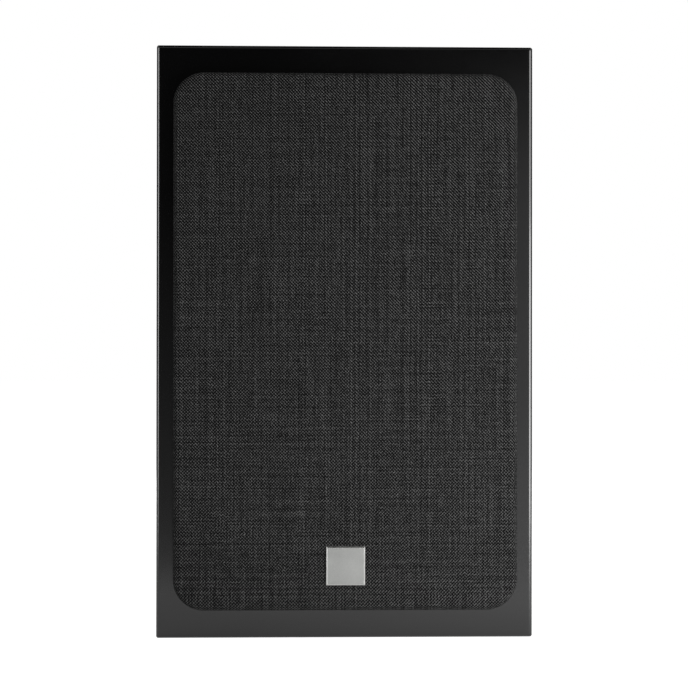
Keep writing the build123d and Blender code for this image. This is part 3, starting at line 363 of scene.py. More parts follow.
    def shade(self, **sockets: Input) -> None:
        """End the tree in one Principled shader; an underscore in a name stands for a space."""
        named = {key.replace("_", " "): value for key, value in sockets.items()}
        self.end(self.add("ShaderNodeBsdfPrincipled", {}, named))


@dataclass(frozen=True)
class Finish:
    """A surface finish that is made once and shared by the pieces that have it."""

    name: str

    def material(self) -> bpy.types.Material:
        """The finish as a material, made on its first use.

        Returns:
            The material.
        """
        found = bpy.data.materials.get(self.name)
        if found is None:
            found = bpy.data.materials.new(self.name)
            self.paint(ShaderGraph(found))
        return found

    def paint(self, graph: ShaderGraph) -> None:
        """Fill the material's node tree."""
        raise NotImplementedError


@dataclass(frozen=True)
class Mottled(Finish):
    """One stuff whose tone, polish and grain vary softly: moulded, cast, sprayed or pressed."""

    dark: Colour
    light: Colour
    patch_scale: float
    grain_scale: float
    grain_depth: float
    smooth: float
    rough: float
    stretch: Point = (1.0, 1.0, 1.0)
    metallic: float = 0.0
    coat: float = 0.0
    sheen: float = 0.0
    grain_in_tone: float = 0.5
    grain_in_polish: float = 0.4

    def paint(self, graph: ShaderGraph) -> None:
        """Lay soft patches under a fine grain.

        Args:
            graph: The material's node tree.
        """
        place = graph.place(self.stretch)
        patch = graph.noise(place, self.patch_scale, detail=3.0)
        grain = graph.noise(place, self.grain_scale, detail=3.0, rough=0.6)
        tone = patch.blend(grain, self.grain_in_tone).spread(Spread.NARROW)
        polish = patch.blend(grain, self.grain_in_polish)
        graph.shade(
            Base_Color=graph.mix(tone, self.dark, self.light),
            Roughness=polish.spread(Spread.BROAD, self.smooth, self.rough),
            Normal=graph.bump(grain, self.grain_depth),
            Metallic=self.metallic,
            Coat_Weight=self.coat,
            Sheen_Weight=self.sheen,
        )


@dataclass(frozen=True)
class Lacquer(Finish):
    """Satin black lacquer: a faint sprayed ripple, soft polish marks and a few grains of dust."""

    colour: Colour
    haze: Colour
    smooth: float
    rough: float
    cloud_scale: float = 11.0
    cloud_tone: float = 0.06
    ripple_scale: float = 260.0
    ripple_depth: float = 0.0025 * MM
    tooth_scale: float = 2600.0
    tooth_depth: float = 0.0016 * MM
    tooth_in_polish: float = 0.3
    dust_cells: float = 420.0
    dust_reach: float = 0.055
    dust_tone: float = 0.6
    dusty_scale: float = 60.0
    dusty_range: Range = (0.55, 0.7)

    def paint(self, graph: ShaderGraph) -> None:
        """Spray the ripple and the tooth, and scatter the dust.

        Args:
            graph: The material's node tree.
        """
        place = graph.place()
        cloud = graph.noise(place, self.cloud_scale, detail=4.0)
        ripple = graph.noise(place, self.ripple_scale)
        tooth = graph.noise(place, self.tooth_scale)
        dust = 1.0 - graph.dots(place, self.dust_cells).eased(0.0, self.dust_reach)
        speck = dust * graph.noise(place, self.dusty_scale).eased(*self.dusty_range)
        tone = speck * self.dust_tone + cloud * self.cloud_tone
        polish = cloud.blend(tooth, self.tooth_in_polish)
        graph.shade(
            Base_Color=graph.mix(tone, self.colour, self.haze),
            Roughness=polish.spread(Spread.MIDDLE, self.smooth, self.rough),
            Normal=graph.bump(tooth, self.tooth_depth, graph.bump(ripple, self.ripple_depth)),
        )


class GrainWay(Enum):
    """Which way a wood grain runs: how far each axis is pressed together."""

    UPRIGHT = (1.0, 1.0, 0.035)
    DEEP = (1.0, 0.035, 1.0)


@dataclass(frozen=True)
class GrainWrap(Finish):
    """Black wood-grain wrap: long figure, open pores and a low sheen."""

    dark: Colour
    light: Colour
    way: GrainWay
    figure_scale: float = 42.0
    bands: float = 9.0
    band_end: float = 0.9
    pore_scale: float = 900.0
    pore_range: Range = (0.36, 0.52)
    pore_depth: float = 0.05 * MM
    pore_in_tone: float = 0.45
    band_in_height: float = 0.2
    dark_rough: float = 0.64
    light_rough: float = 0.48
    gloss: float = 0.25
    film_scale: float = 5200.0
    film_depth: float = 0.004 * MM

    def paint(self, graph: ShaderGraph) -> None:
        """Draw the figure and press the pores into it.

        Args:
            graph: The material's node tree.
        """
        place = graph.place(self.way.value)
        figure = graph.noise(place, self.figure_scale, detail=5.0, rough=0.62)
        band = (figure * self.bands).fract().eased(0.0, self.band_end)
        pore = graph.noise(place, self.pore_scale, rough=0.7).eased(*self.pore_range)
        film = graph.noise(graph.place(), self.film_scale, detail=1.0)
        tone = band.blend(pore, self.pore_in_tone)
        height = pore.blend(band, self.band_in_height)
        graph.shade(
            Base_Color=graph.mix(tone, self.dark, self.light),
            Roughness=tone.eased(0.0, 1.0, self.dark_rough, self.light_rough),
            Normal=graph.bump(film, self.film_depth, graph.bump(height, self.pore_depth)),
            Specular_IOR_Level=self.gloss,
        )


@dataclass(frozen=True)
class WovenCloth(Finish):
    """Plain-weave cloth of uneven two-tone yarn, drawn on the piece's own flat cut.

    The yarn's twist leans the tone one way along the diagonals. That lean is strongest at the top of the
    cloth, and the lean the other way is weakest at the upper right.
    """

    stops: tuple[tuple[float, Colour], ...]
    warp_pitch: float
    weft_pitch: float
    thread_depth: float
    twist: float
    counter_twist: float
    wander: float
    roughness: float = 0.9
    gloss: float = 0.06
    warp_seed: float = 0.37
    weft_seed: float = 5.71
    own_tone: float = 0.22
    slub_tone: float = 0.65
    slub_apart: float = 7.31
    slub_length: float = 9.0 * MM
    fleck_tone: float = 0.65
    fleck_apart: float = 3.17
    flecks_per_thread: float = 0.8
    sway_scale: float = 26.0
    lift_scale: float = 31.0
    crown: float = 0.55
    streak_scale: tuple[float, float] = (800.0, 14.0)
    streak_tone: float = 0.5
    bar_scale: tuple[float, float] = (14.0, 780.0)
    bar_tone: float = 0.42
    lean: float = 0.86
    lean_per_metre: float = 2.3
    counter_left: float = 1.25
    counter_loss: float = 0.47
    counter_loss_per_metre: float = 5.2
    counter_change: Range = (-0.06, 0.06)
    # Painted light: how much lighter the cloth's tone is painted per metre to the right, and per metre
    # upwards (darker when negative).
    painted_light_across: float = 0.25
    painted_light_along: float = -0.37
    base_tone: float = -0.145

    def _thread(self, graph: ShaderGraph, number: Value, along: Value, seed: float) -> Value:
        """Tone of one yarn: its shade beside its neighbour's, its slubs and its short flecks.

        Args:
            graph: The node tree.
            number: Number of the thread.
            along: Place along it, in metres.
            seed: Keeps the warp and the weft apart.

        Returns:
            The tone.
        """
        own = graph.hash(graph.join(number, seed)) - graph.hash(graph.join(number + 1.0, seed))
        slub_place = graph.join(number * self.slub_apart + seed, along / self.slub_length)
        slub = graph.noise(slub_place, 1.0, rough=0.6)
        fleck_along = along / self.warp_pitch * self.flecks_per_thread
        fleck = graph.noise(graph.join(number * self.fleck_apart + seed, fleck_along), 1.0, detail=1.0)
        return own * self.own_tone + slub * self.slub_tone + fleck * self.fleck_tone

    def _bands(self, graph: ShaderGraph, cut: Value, scale: tuple[float, float]) -> Value:
        """Soft noise around nothing, drawn out along one set of threads."""
        across, along, _ = graph.split(cut)
        return graph.noise(graph.join(across * scale[0], along * scale[1]), 1.0) - 0.5

    def paint(self, graph: ShaderGraph) -> None:
        """Weave the warp over and under the weft.

        Args:
            graph: The material's node tree.
        """
        cut = graph.add("ShaderNodeUVMap", {"uv_map": "weave"})
        across, along, _ = graph.split(cut)
        sway = graph.noise(cut, self.sway_scale) - 0.5
        lift = graph.noise(cut, self.lift_scale) - 0.5
        warp_at = across / self.warp_pitch + sway * self.wander
        weft_at = along / self.weft_pitch + lift * self.wander
        warp = warp_at.floor()
        weft = weft_at.floor()
        over = ((warp + weft) % 2.0).above(0.5)
        under = 1.0 - over
        warp_round = ((warp_at.fract() - 0.5) * math.pi).cosine()
        weft_round = ((weft_at.fract() - 0.5) * math.pi).cosine()
        warp_top = warp_round * (1.0 - self.crown + self.crown * weft_round)
        weft_top = weft_round * (1.0 - self.crown + self.crown * warp_round)
        height = over * warp_top + under * weft_top
        warp_yarn = self._thread(graph, warp, along, self.warp_seed)
        weft_yarn = self._thread(graph, weft, across, self.weft_seed)
        yarn = over * warp_yarn + under * weft_yarn
        streak = self._bands(graph, cut, self.streak_scale) * self.streak_tone
        bar = self._bands(graph, cut, self.bar_scale) * self.bar_tone
        lean = self.twist * (self.lean + along * self.lean_per_metre)
        loss = self.counter_loss + along * self.counter_loss_per_metre
        counter_lean = self.counter_twist * (self.counter_left - across.eased(*self.counter_change) * loss)
        twist = ((warp_at + weft_at) * math.pi).cosine() * lean
        counter = ((warp_at - weft_at) * math.pi).cosine() * counter_lean
        # Painted light: the tone is painted lighter towards the right and darker towards the top, as the
        # light falls from the lower right.
        painted_light_slope = across * self.painted_light_across + along * self.painted_light_along + self.base_tone
        graph.shade(
            Base_Color=graph.ramp(yarn + painted_light_slope + streak + bar + twist + counter, self.stops),
            Roughness=self.roughness,
            Normal=graph.bump(height, self.thread_depth),
            Specular_IOR_Level=self.gloss,
        )


@dataclass(frozen=True)
class FineWeave(Finish):
    """Close weave under a thin coat of varnish, as on a dome or a spider."""

    dark: Colour
    light: Colour
    pitch: float
    depth: float
    roughness: float
    varnish_scale: float = 160.0
    varnish_in_tone: float = 0.45
    polish_change: float = 0.1

    def paint(self, graph: ShaderGraph) -> None:
        """Cross two sets of threads seen from the front.

        Args:
            graph: The material's node tree.
        """
        place = graph.place()
        x, _, z = graph.split(place)
        turn = 2.0 * math.pi / self.pitch
        weave = ((x * turn).cosine() * (z * turn).cosine()) * 0.5 + 0.5
        varnish = graph.noise(place, self.varnish_scale, detail=3.0)
        tone = weave.blend(varnish, self.varnish_in_tone)
        smooth, rough = self.roughness - self.polish_change, self.roughness + self.polish_change
        graph.shade(
            Base_Color=graph.mix(tone, self.dark, self.light),
            Roughness=varnish.spread(Spread.WIDE, smooth, rough),
            Normal=graph.bump(weave, self.depth),
        )


@dataclass(frozen=True)
class BlastedMetal(Finish):
    """Satin metal plate, blasted on its front with fine beads, with a painted highlight on its bevels."""

    dark: Colour
    light: Colour
    # The bevels' colour: a painted highlight, brighter than the face.
    bevel: Colour
    smooth: float
    rough: float
    bead_scale: float = 3800.0
    bead_depth: float = 0.012 * MM
    cloud_scale: float = 70.0
    cloud_in_tone: float = 0.25
    highlight_facing: Range = (-0.95, -0.8)

    def paint(self, graph: ShaderGraph) -> None:
        """Pit the face, with faint clouds of handling, and paint the bevels brighter as a painted highlight.

        Args:
            graph: The material's node tree.
        """
        place = graph.place()
        bead = graph.noise(place, self.bead_scale, rough=0.7)
        cloud = graph.noise(place, self.cloud_scale, detail=3.0)
        tone = bead.blend(cloud, self.cloud_in_tone)
        face = graph.mix(tone.spread(Spread.MIDDLE), self.dark, self.light)
        _, facing, _ = graph.split(graph.add("ShaderNodeNewGeometry", output="Normal"))
        graph.shade(
            # Painted highlight: the bevels, which turn away from the front, take the brighter bevel colour.
            Base_Color=graph.mix(facing.eased(*self.highlight_facing), face, self.bevel),
            Metallic=1.0,
            Roughness=tone.spread(Spread.MIDDLE, self.smooth, self.rough),
            Normal=graph.bump(bead, self.bead_depth),
        )


@dataclass(frozen=True)
class TabbedStrip(Finish):
    """Pressed fibre strip with bright tabs on its rear face."""

    fibre: Colour
    tab: Colour
    tab_from: float
    shadow: float = 0.7
    grain_scale: float = 1400.0
    grain_depth: float = 0.02 * MM
    smooth: float = 0.25
    rough: float = 0.5

    def paint(self, graph: ShaderGraph) -> None:
        """Part the strip from its tabs by depth.

        Args:
            graph: The material's node tree.
        """
        place = graph.place()
        _, y, _ = graph.split(place)
        metal = y.above(self.tab_from)
        grain = graph.noise(place, self.grain_scale, detail=3.0)
        fibre = graph.mix(grain, tuple(part * self.shadow for part in self.fibre), self.fibre)
        graph.shade(
            Base_Color=graph.mix(metal, fibre, self.tab),
            Metallic=metal,
            Roughness=grain.spread(Spread.WIDE, self.smooth, self.rough),
            Normal=graph.bump(grain, self.grain_depth),
        )


@dataclass(frozen=True)
class EtchedBoard(Finish):
    """Circuit board: green mask over copper tracks."""

    mask: Colour
    track: Colour
    pad: Colour
    track_scale: float = 90.0
    track_width: float = 0.09
    track_cell: tuple[float, float] = (1.7, 0.8)
    pad_cells: float = 110.0
    pad_edge: Range = (0.16, 0.2)
    glass_scale: float = 2400.0
    smooth: float = 0.28
    rough: float = 0.45
    track_height: float = 0.7
    glass_height: float = 0.05
    depth: float = 0.05 * MM

    def paint(self, graph: ShaderGraph) -> None:
        """Lay the tracks under the mask and leave round pads bare.

        Args:
            graph: The material's node tree.
        """
        place = graph.place()
        grid = {
            "Vector": place,
            "Scale": self.track_scale,
            "Mortar Size": self.track_width,
            "Brick Width": self.track_cell[0],
            "Row Height": self.track_cell[1],
        }
        track = graph.add("ShaderNodeTexBrick", {}, grid, "Fac")
        pad = 1.0 - graph.dots(place, self.pad_cells).eased(*self.pad_edge)
        glass = graph.noise(place, self.glass_scale)
        under = graph.mix(track, self.mask, self.track)
        height = track * self.track_height + glass * self.glass_height
        graph.shade(
            Base_Color=graph.mix(pad, under, self.pad),
            Metallic=pad,
            Roughness=glass.spread(Spread.WIDE, self.smooth, self.rough),
            Normal=graph.bump(height, self.depth),
        )


@dataclass(frozen=True)
class WrappedFilm(Finish):
    """Capacitor in turns of yellow tape."""

    tape: Colour
    shadow: Colour
    turn: float
    turn_edge: float = 0.14
    turn_depth: float = 0.06 * MM
    cloud_scale: float = 240.0
    cloud_in_tone: float = 0.4
    smooth: float = 0.25
    rough: float = 0.42

    def paint(self, graph: ShaderGraph) -> None:
        """Wind the tape on.

        Args:
            graph: The material's node tree.
        """
        place = graph.place()
        x, _, _ = graph.split(place)
        edge = (x / self.turn).fract().eased(0.0, self.turn_edge)
        cloud = graph.noise(place, self.cloud_scale, detail=3.0)
        tone = edge.blend(cloud, self.cloud_in_tone)
        graph.shade(
            Base_Color=graph.mix(tone, self.shadow, self.tape),
            Roughness=cloud.spread(Spread.WIDE, self.smooth, self.rough),
            Normal=graph.bump(edge, self.turn_depth),
        )


@dataclass(frozen=True)
class PaleFloor(Finish):
    """Floor that glows white to the camera, still takes the shadow, and looks graded in gloss."""

    grey: float = 0.8
    strength: float = 0.86
    grade: Range = (-0.13, 0.13)
    left_tone: float = 0.74
    right_tone: float = 1.1

    def paint(self, graph: ShaderGraph) -> None:
        """Add the glow to the paint where the floor is seen.

        Args:
            graph: The material's node tree.
        """
        x, _, _ = graph.split(graph.place())
        graded = x.eased(*self.grade, self.left_tone, self.right_tone)
        tone = 1.0 + graph.ray("Is Glossy Ray") * (graded - 1.0)
        paint = graph.matt(self.grey)
        both = graph.add("ShaderNodeAddShader", {}, {0: paint, 1: graph.glow(tone, self.strength)})
        graph.end(graph.add("ShaderNodeMixShader", {}, {0: graph.seen(), 1: paint, 2: both}))


@dataclass(frozen=True)
class GradedCard(Finish):
    """Glowing card: a soft window at the lower right of a dark room, which gets white at its far ends."""

    window_side: Range = (0.0, 0.22)
    window_top: Range = (0.31, 0.46)
    window_glow: float = 0.66
    sill_top: Range = (0.0, 0.2)
    sill_glow: float = 0.3
    low_top: Range = (-0.1, 0.36)
    low_grade: Range = (-0.16, 0.2)
    low_left: float = 0.37
    low_right: float = 0.64
    edge_side: Range = (0.2, 0.45)
    edge_top: Range = (0.42, 0.6)
    edge_glow: float = 3.0
    room_glow: float = 0.035
    left_end: Range = (-0.85, -0.35)
    top_end: Range = (0.65, 1.25)

    def paint(self, graph: ShaderGraph) -> None:
        """Grade the glow across and up the card.

        Args:
            graph: The material's node tree.
        """
        x, _, z = graph.split(graph.place())
        window = (1.0 - z.eased(*self.window_top)) * self.window_glow
        sill = (1.0 - z.eased(*self.sill_top)) * self.sill_glow
        low = (1.0 - z.eased(*self.low_top)) * x.eased(*self.low_grade, self.low_left, self.low_right)
        edge = x.eased(*self.edge_side) * (1.0 - z.eased(*self.edge_top)) * self.edge_glow
        dark = x.eased(*self.window_side) * (window + sill) + low + edge + self.room_glow
        inside = x.eased(*self.left_end) * (1.0 - z.eased(*self.top_end))
        graph.end(graph.glow(inside * (dark - 1.0) + 1.0))


@dataclass(frozen=True)
class MattBlack(Finish):
    """Black cloth that takes the light away."""

    grey: float = 0.01

    def paint(self, graph: ShaderGraph) -> None:
        """Paint it evenly."""
        graph.end(graph.matt(self.grey))


SATIN_LACQUER = Lacquer(
    "satin_black_lacquer", colour=(0.0007, 0.0007, 0.0008), haze=(0.012, 0.012, 0.012), smooth=0.13,
    rough=0.18,
)
UPRIGHT_WRAP = GrainWrap(
    "black_wrap_upright", dark=(0.0018, 0.0018, 0.0019), light=(0.0062, 0.006, 0.0058),
    way=GrainWay.UPRIGHT,
)
DEEP_WRAP = GrainWrap(
    "black_wrap_deep", dark=(0.0018, 0.0018, 0.0019), light=(0.0062, 0.006, 0.0058), way=GrainWay.DEEP,
)
FIBREBOARD = Mottled(
    "bare_fibreboard", dark=(0.3, 0.19, 0.1), light=(0.52, 0.37, 0.23), patch_scale=60.0,
    grain_scale=1500.0, grain_depth=0.12 * MM, smooth=0.75, rough=0.95,
)
WADDING = Mottled(
    "white_wadding", dark=(0.56, 0.55, 0.52), light=(0.84, 0.83, 0.8), patch_scale=90.0, grain_scale=700.0,
    grain_depth=1.2 * MM, smooth=0.9, rough=1.0, sheen=0.3,
)
GRILLE_CLOTH = WovenCloth(
    "grey_grille_weave",
    (
        (0.0, (0.0006, 0.0006, 0.0006)),
        (0.2, (0.0026, 0.0026, 0.0027)),
        (0.4, (0.0078, 0.0078, 0.0079)),
        (0.6, (0.0186, 0.0186, 0.0186)),
        (0.8, (0.0450, 0.0450, 0.0448)),
        (1.0, (0.1030, 0.1030, 0.1020)),
    ),
    warp_pitch=1.03 * MM,
    weft_pitch=1.06 * MM,
    thread_depth=0.28 * MM,
    twist=0.44,
    counter_twist=0.21,
    wander=1.2,
)
GRILLE_PLASTIC = Mottled(
    "grille_frame_plastic", dark=(0.010, 0.010, 0.0105), light=(0.019, 0.019, 0.0195), patch_scale=40.0,
    grain_scale=2600.0, grain_depth=0.03 * MM, smooth=0.42, rough=0.58,
)
BADGE_METAL = BlastedMetal(
    "blasted_badge_metal", dark=(0.270, 0.273, 0.266), light=(0.325, 0.328, 0.319),
    # The bevel colour is a painted highlight.
    bevel=(0.56, 0.56, 0.547), smooth=0.3, rough=0.4,
)
BASKET_PAINT = Mottled(
    "basket_powder_coat", dark=(0.008, 0.008, 0.0085), light=(0.021, 0.021, 0.0215), patch_scale=50.0,
    grain_scale=1900.0, grain_depth=0.06 * MM, smooth=0.4, rough=0.6,
)
CONE_PAPER = Mottled(
    "pulped_cone", dark=(0.016, 0.014, 0.013), light=(0.055, 0.048, 0.043), patch_scale=120.0,
    grain_scale=1300.0, grain_depth=0.1 * MM, smooth=0.68, rough=0.88,
)
RUBBER = Mottled(
    "soft_rubber", dark=(0.007, 0.007, 0.007), light=(0.017, 0.017, 0.017), patch_scale=80.0,
    grain_scale=3000.0, grain_depth=0.02 * MM, smooth=0.5, rough=0.68,
)
DOME_FABRIC = FineWeave(
    "coated_dome_fabric", dark=(0.006, 0.006, 0.007), light=(0.024, 0.024, 0.027), pitch=0.24 * MM,
    depth=0.03 * MM, roughness=0.4,
)
SPIDER_CLOTH = FineWeave(
    "resin_spider_cloth", dark=(0.26, 0.15, 0.04), light=(0.56, 0.4, 0.17), pitch=0.5 * MM, depth=0.08 * MM,
    roughness=0.55,
)
FERRITE = Mottled(
    "ground_ferrite", dark=(0.028, 0.028, 0.031), light=(0.07, 0.07, 0.075), patch_scale=150.0,
    grain_scale=2200.0, grain_depth=0.03 * MM, smooth=0.4, rough=0.6,
)
STEEL = Mottled(
    "zinc_plated_steel", dark=(0.42, 0.43, 0.45), light=(0.64, 0.64, 0.65), patch_scale=90.0,
    grain_scale=1600.0, grain_depth=0.01 * MM, smooth=0.22, rough=0.4, metallic=1.0,
)
BLACK_SCREW = Mottled(
    "black_oxide_screw", dark=(0.012, 0.012, 0.013), light=(0.035, 0.035, 0.037), patch_scale=300.0,
    grain_scale=4000.0, grain_depth=0.01 * MM, smooth=0.3, rough=0.45, metallic=0.6,
)
COPPER = Mottled(
    "enamelled_copper", dark=(0.4, 0.14, 0.05), light=(0.66, 0.3, 0.14), patch_scale=220.0,
    grain_scale=2600.0, grain_depth=0.01 * MM, smooth=0.2, rough=0.36, metallic=1.0, coat=0.5,
)
GOLD = Mottled(
    "gold_plated_brass", dark=(0.6, 0.38, 0.12), light=(0.84, 0.62, 0.28), patch_scale=160.0,
    grain_scale=5200.0, grain_depth=0.006 * MM, smooth=0.14, rough=0.28, stretch=(1.0, 6.0, 1.0),
    metallic=1.0,
)
BLACK_PLASTIC = Mottled(
    "moulded_black_plastic", dark=(0.0075, 0.0075, 0.008), light=(0.0155, 0.0155, 0.016), patch_scale=45.0,
    grain_scale=2300.0, grain_depth=0.04 * MM, smooth=0.38, rough=0.55,
)
RED_PLASTIC = Mottled(
    "moulded_red_plastic", dark=(0.3, 0.008, 0.008), light=(0.47, 0.02, 0.017), patch_scale=130.0,
    grain_scale=2600.0, grain_depth=0.012 * MM, smooth=0.2, rough=0.34, coat=0.2,
)
FOAM = Mottled(
    "closed_cell_foam", dark=(0.012, 0.012, 0.012), light=(0.045, 0.045, 0.046), patch_scale=400.0,
    grain_scale=2600.0, grain_depth=0.12 * MM, smooth=0.85, rough=1.0,
)
WOOFER_STRIP = TabbedStrip(
    "woofer_strip_fibre", fibre=(0.22, 0.1, 0.04), tab=(0.78, 0.6, 0.3), tab_from=-66.45 * MM,
)
TWEETER_STRIP = TabbedStrip(
    "tweeter_strip_fibre", fibre=(0.22, 0.1, 0.04), tab=(0.78, 0.6, 0.3), tab_from=-79.45 * MM,
)
BOARD = EtchedBoard(
    "etched_board", mask=(0.012, 0.09, 0.03), track=(0.03, 0.19, 0.07), pad=(0.62, 0.6, 0.56),
)
FILM = WrappedFilm("taped_capacitor", tape=(0.62, 0.43, 0.05), shadow=(0.36, 0.23, 0.02), turn=2.4 * MM)
CEMENT = Mottled(
    "white_cement", dark=(0.58, 0.56, 0.51), light=(0.82, 0.8, 0.75), patch_scale=180.0, grain_scale=2200.0,
    grain_depth=0.08 * MM, smooth=0.6, rough=0.85,
)
SLEEVE = Mottled(
    "red_wire_sleeve", dark=(0.24, 0.01, 0.01), light=(0.38, 0.025, 0.022), patch_scale=120.0,
    grain_scale=2000.0, grain_depth=0.01 * MM, smooth=0.3, rough=0.45,
)
TINSEL = Mottled(
    "tinsel_lead", dark=(0.36, 0.17, 0.07), light=(0.62, 0.36, 0.18), patch_scale=500.0, grain_scale=3200.0,
    grain_depth=0.1 * MM, smooth=0.4, rough=0.6, metallic=0.8,
)
FLOOR = PaleFloor("pale_floor")
CARD = GradedCard("graded_card")
FLAG_CLOTH = MattBlack("black_flag_cloth")


class Pick(Enum):
    """What is selected in edit mode."""

    EDGES = "EDGE"
    FACES = "FACE"


class Bench:
    """Modelling by hand: one mesh at a time, shaped by operators."""

    # A turned shape grows from the middle of a plane of this size.
    SEED_SIZE = 10.0 * MM

    # Order and steps of a wire's smooth line, and the steps of a quarter of its round.
    WIRE_ORDER = 3
    WIRE_STEPS = 12
    WIRE_ROUND = 4

    @staticmethod
    @contextmanager
    def editing(piece: bpy.types.Object) -> Iterator[None]:
        """Keep a piece in edit mode for the length of a with block.

        Args:
            piece: The piece.

        Yields:
            Nothing, for as long as the block runs.
        """
        bpy.context.view_layer.objects.active = piece
        bpy.ops.object.mode_set(mode="EDIT")
        yield
        bpy.ops.object.mode_set(mode="OBJECT")

    @staticmethod
    def only(piece: bpy.types.Object) -> None:
        """Select one piece alone and make it the active one.

        Args:
            piece: The piece.
        """
        bpy.ops.object.select_all(action="DESELECT")
        piece.select_set(True)
        bpy.context.view_layer.objects.active = piece

    @staticmethod
    def name(piece: bpy.types.Object, name: str) -> bpy.types.Object:
        """Name a piece and its mesh.

        Args:
            piece: The piece.
            name: Its name.

        Returns:
            The piece.
        """
        piece.name = name
        piece.data.name = name
        return piece

    @staticmethod
    def settled(name: str, scale: Sequence[float] = (1.0, 1.0, 1.0)) -> bpy.types.Object:
        """The primitive that was just added, scaled, with its place in its mesh, and named.

        Args:
            name: The piece's name.
            scale: Its size along each axis.

        Returns:
            The piece.
        """
        piece = bpy.context.object
        piece.scale = scale
        bpy.ops.object.transform_apply(location=True, rotation=True, scale=True)
        return Bench.name(piece, name)

    @staticmethod
    def plate(name: str, width: float, height: float, centre: Point) -> bpy.types.Object:
        """A flat sheet facing the front, with its place in its mesh.

        Args:
            name: The piece's name.
            width: Its size across.
            height: Its size upwards.
            centre: Its middle.

        Returns:
            The sheet.
        """
        bpy.ops.object.select_all(action="DESELECT")
        bpy.ops.mesh.primitive_plane_add(size=1.0, rotation=(math.pi / 2, 0.0, 0.0), location=centre)
        return Bench.settled(name, (width, height, 1.0))

    @staticmethod
    def block(name: str, low: Vector, high: Vector) -> bpy.types.Object:
        """A box between two corners, with its place in its mesh.

        Args:
            name: The piece's name.
            low: Its lowest corner.
            high: Its highest corner.

        Returns:
            The box.
        """
        bpy.ops.object.select_all(action="DESELECT")
        bpy.ops.mesh.primitive_cube_add(size=1.0, location=(low + high) / 2)
        return Bench.settled(name, high - low)

    @staticmethod
    def pick(piece: bpy.types.Object, kind: Pick, test: Callable[[object], bool]) -> None:
        """Select the edges or faces that pass a test, and nothing else.

        Args:
            piece: The piece, in edit mode.
            kind: Edges or faces.
            test: True for what is selected.
        """
        bpy.ops.mesh.select_mode(type=kind.value)
        bpy.ops.mesh.select_all(action="DESELECT")
        mesh = bmesh.from_edit_mesh(piece.data)
        for item in mesh.edges if kind is Pick.EDGES else mesh.faces:
            item.select_set(test(item))
        bmesh.update_edit_mesh(piece.data)

    @staticmethod
    def turned(
        name: str, profile: Profile, centre: Vector, axis: Vector, outward: Vector, steps: int = 96
    ) -> bpy.types.Object:
        """A shape turned about an axis.

        Args:
            name: The piece's name.
            profile: Points of radius and distance along the axis.
            centre: The axis's start.
            axis: Its direction.
            outward: Direction in which the radius is drawn.
            steps: Sides of the turned shape.

        Returns:
            The turned surface, with its place in its mesh.
        """
        bpy.ops.object.select_all(action="DESELECT")
        bpy.ops.mesh.primitive_plane_add(size=Bench.SEED_SIZE, location=centre)
        piece = Bench.settled(name)
        points = [outward * radius + axis * along for radius, along in profile]
        with Bench.editing(piece):
            bpy.ops.mesh.select_mode(type="VERT")
            bpy.ops.mesh.select_all(action="SELECT")
            bpy.ops.mesh.merge(type="CENTER")
            bpy.ops.transform.translate(value=points[0])
            for last, point in zip(points, points[1:]):
                bpy.ops.mesh.extrude_region_move(TRANSFORM_OT_translate={"value": point - last})
            bpy.ops.mesh.select_all(action="SELECT")
            bpy.ops.mesh.spin(steps=steps, angle=2.0 * math.pi, center=centre, axis=axis)
            bpy.ops.mesh.select_all(action="SELECT")
            bpy.ops.mesh.remove_doubles(threshold=WELD)
            bpy.ops.mesh.normals_make_consistent(inside=False)
        return piece

    @staticmethod
    def thicken(piece: bpy.types.Object, wall: float, offset: float = 0.0) -> None:
        """Give a sheet its wall, on its middle or to one side.

        Args:
            piece: The sheet.
            wall: Its thickness.
            offset: 0 for a wall on the sheet's middle, or 1 or -1 for one side.
        """
        solidify = piece.modifiers.new("wall", "SOLIDIFY")
        solidify.thickness = wall
        solidify.offset = offset
        solidify.use_even_offset = True
        Bench.apply(piece, solidify)

    @staticmethod
    def apply(piece: bpy.types.Object, modifier: bpy.types.Modifier) -> None:
        """Apply a modifier to its piece alone."""
        Bench.only(piece)
        bpy.ops.object.modifier_apply(modifier=modifier.name)

    @staticmethod
    def soften(piece: bpy.types.Object, degrees: float = PLAIN_SMOOTH) -> None:
        """Shade a piece smooth except across sharp edges."""
        Bench.only(piece)
        bpy.ops.object.shade_smooth_by_angle(angle=math.radians(degrees))

    @staticmethod
    def wires(name: str, routes: Sequence[Sequence[Point]], radius: float) -> bpy.types.Object:
        """Round wires along smooth lines, as one mesh.

        Args:
            name: The piece's name.
            routes: Control points of each wire's line, in millimetres.
            radius: The wire's radius in metres.

        Returns:
            The wires.
        """
        curve = bpy.data.curves.new(name, "CURVE")
        curve.dimensions = "3D"
        curve.bevel_depth = radius
        curve.bevel_resolution = Bench.WIRE_ROUND
        curve.use_fill_caps = True
        for route in routes:
            line = curve.splines.new("NURBS")
            line.points.add(len(route) - 1)
            for control, point in zip(line.points, route):
                control.co = (*(Vector(point) * MM), 1.0)
            line.order_u = Bench.WIRE_ORDER
            line.use_endpoint_u = True
            line.resolution_u = Bench.WIRE_STEPS
        piece = bpy.data.objects.new(name, curve)
        bpy.context.scene.collection.objects.link(piece)
        Bench.only(piece)
        bpy.ops.object.convert(target="MESH")
        piece = bpy.context.object
        with Bench.editing(piece):
            bpy.ops.mesh.select_all(action="SELECT")
            bpy.ops.mesh.remove_doubles(threshold=WELD)
        return Bench.name(piece, name)


# Steps of a half-round ridge of wire and of a half-round roll.
RIDGE_STEPS = 4
ROLL_STEPS = 12


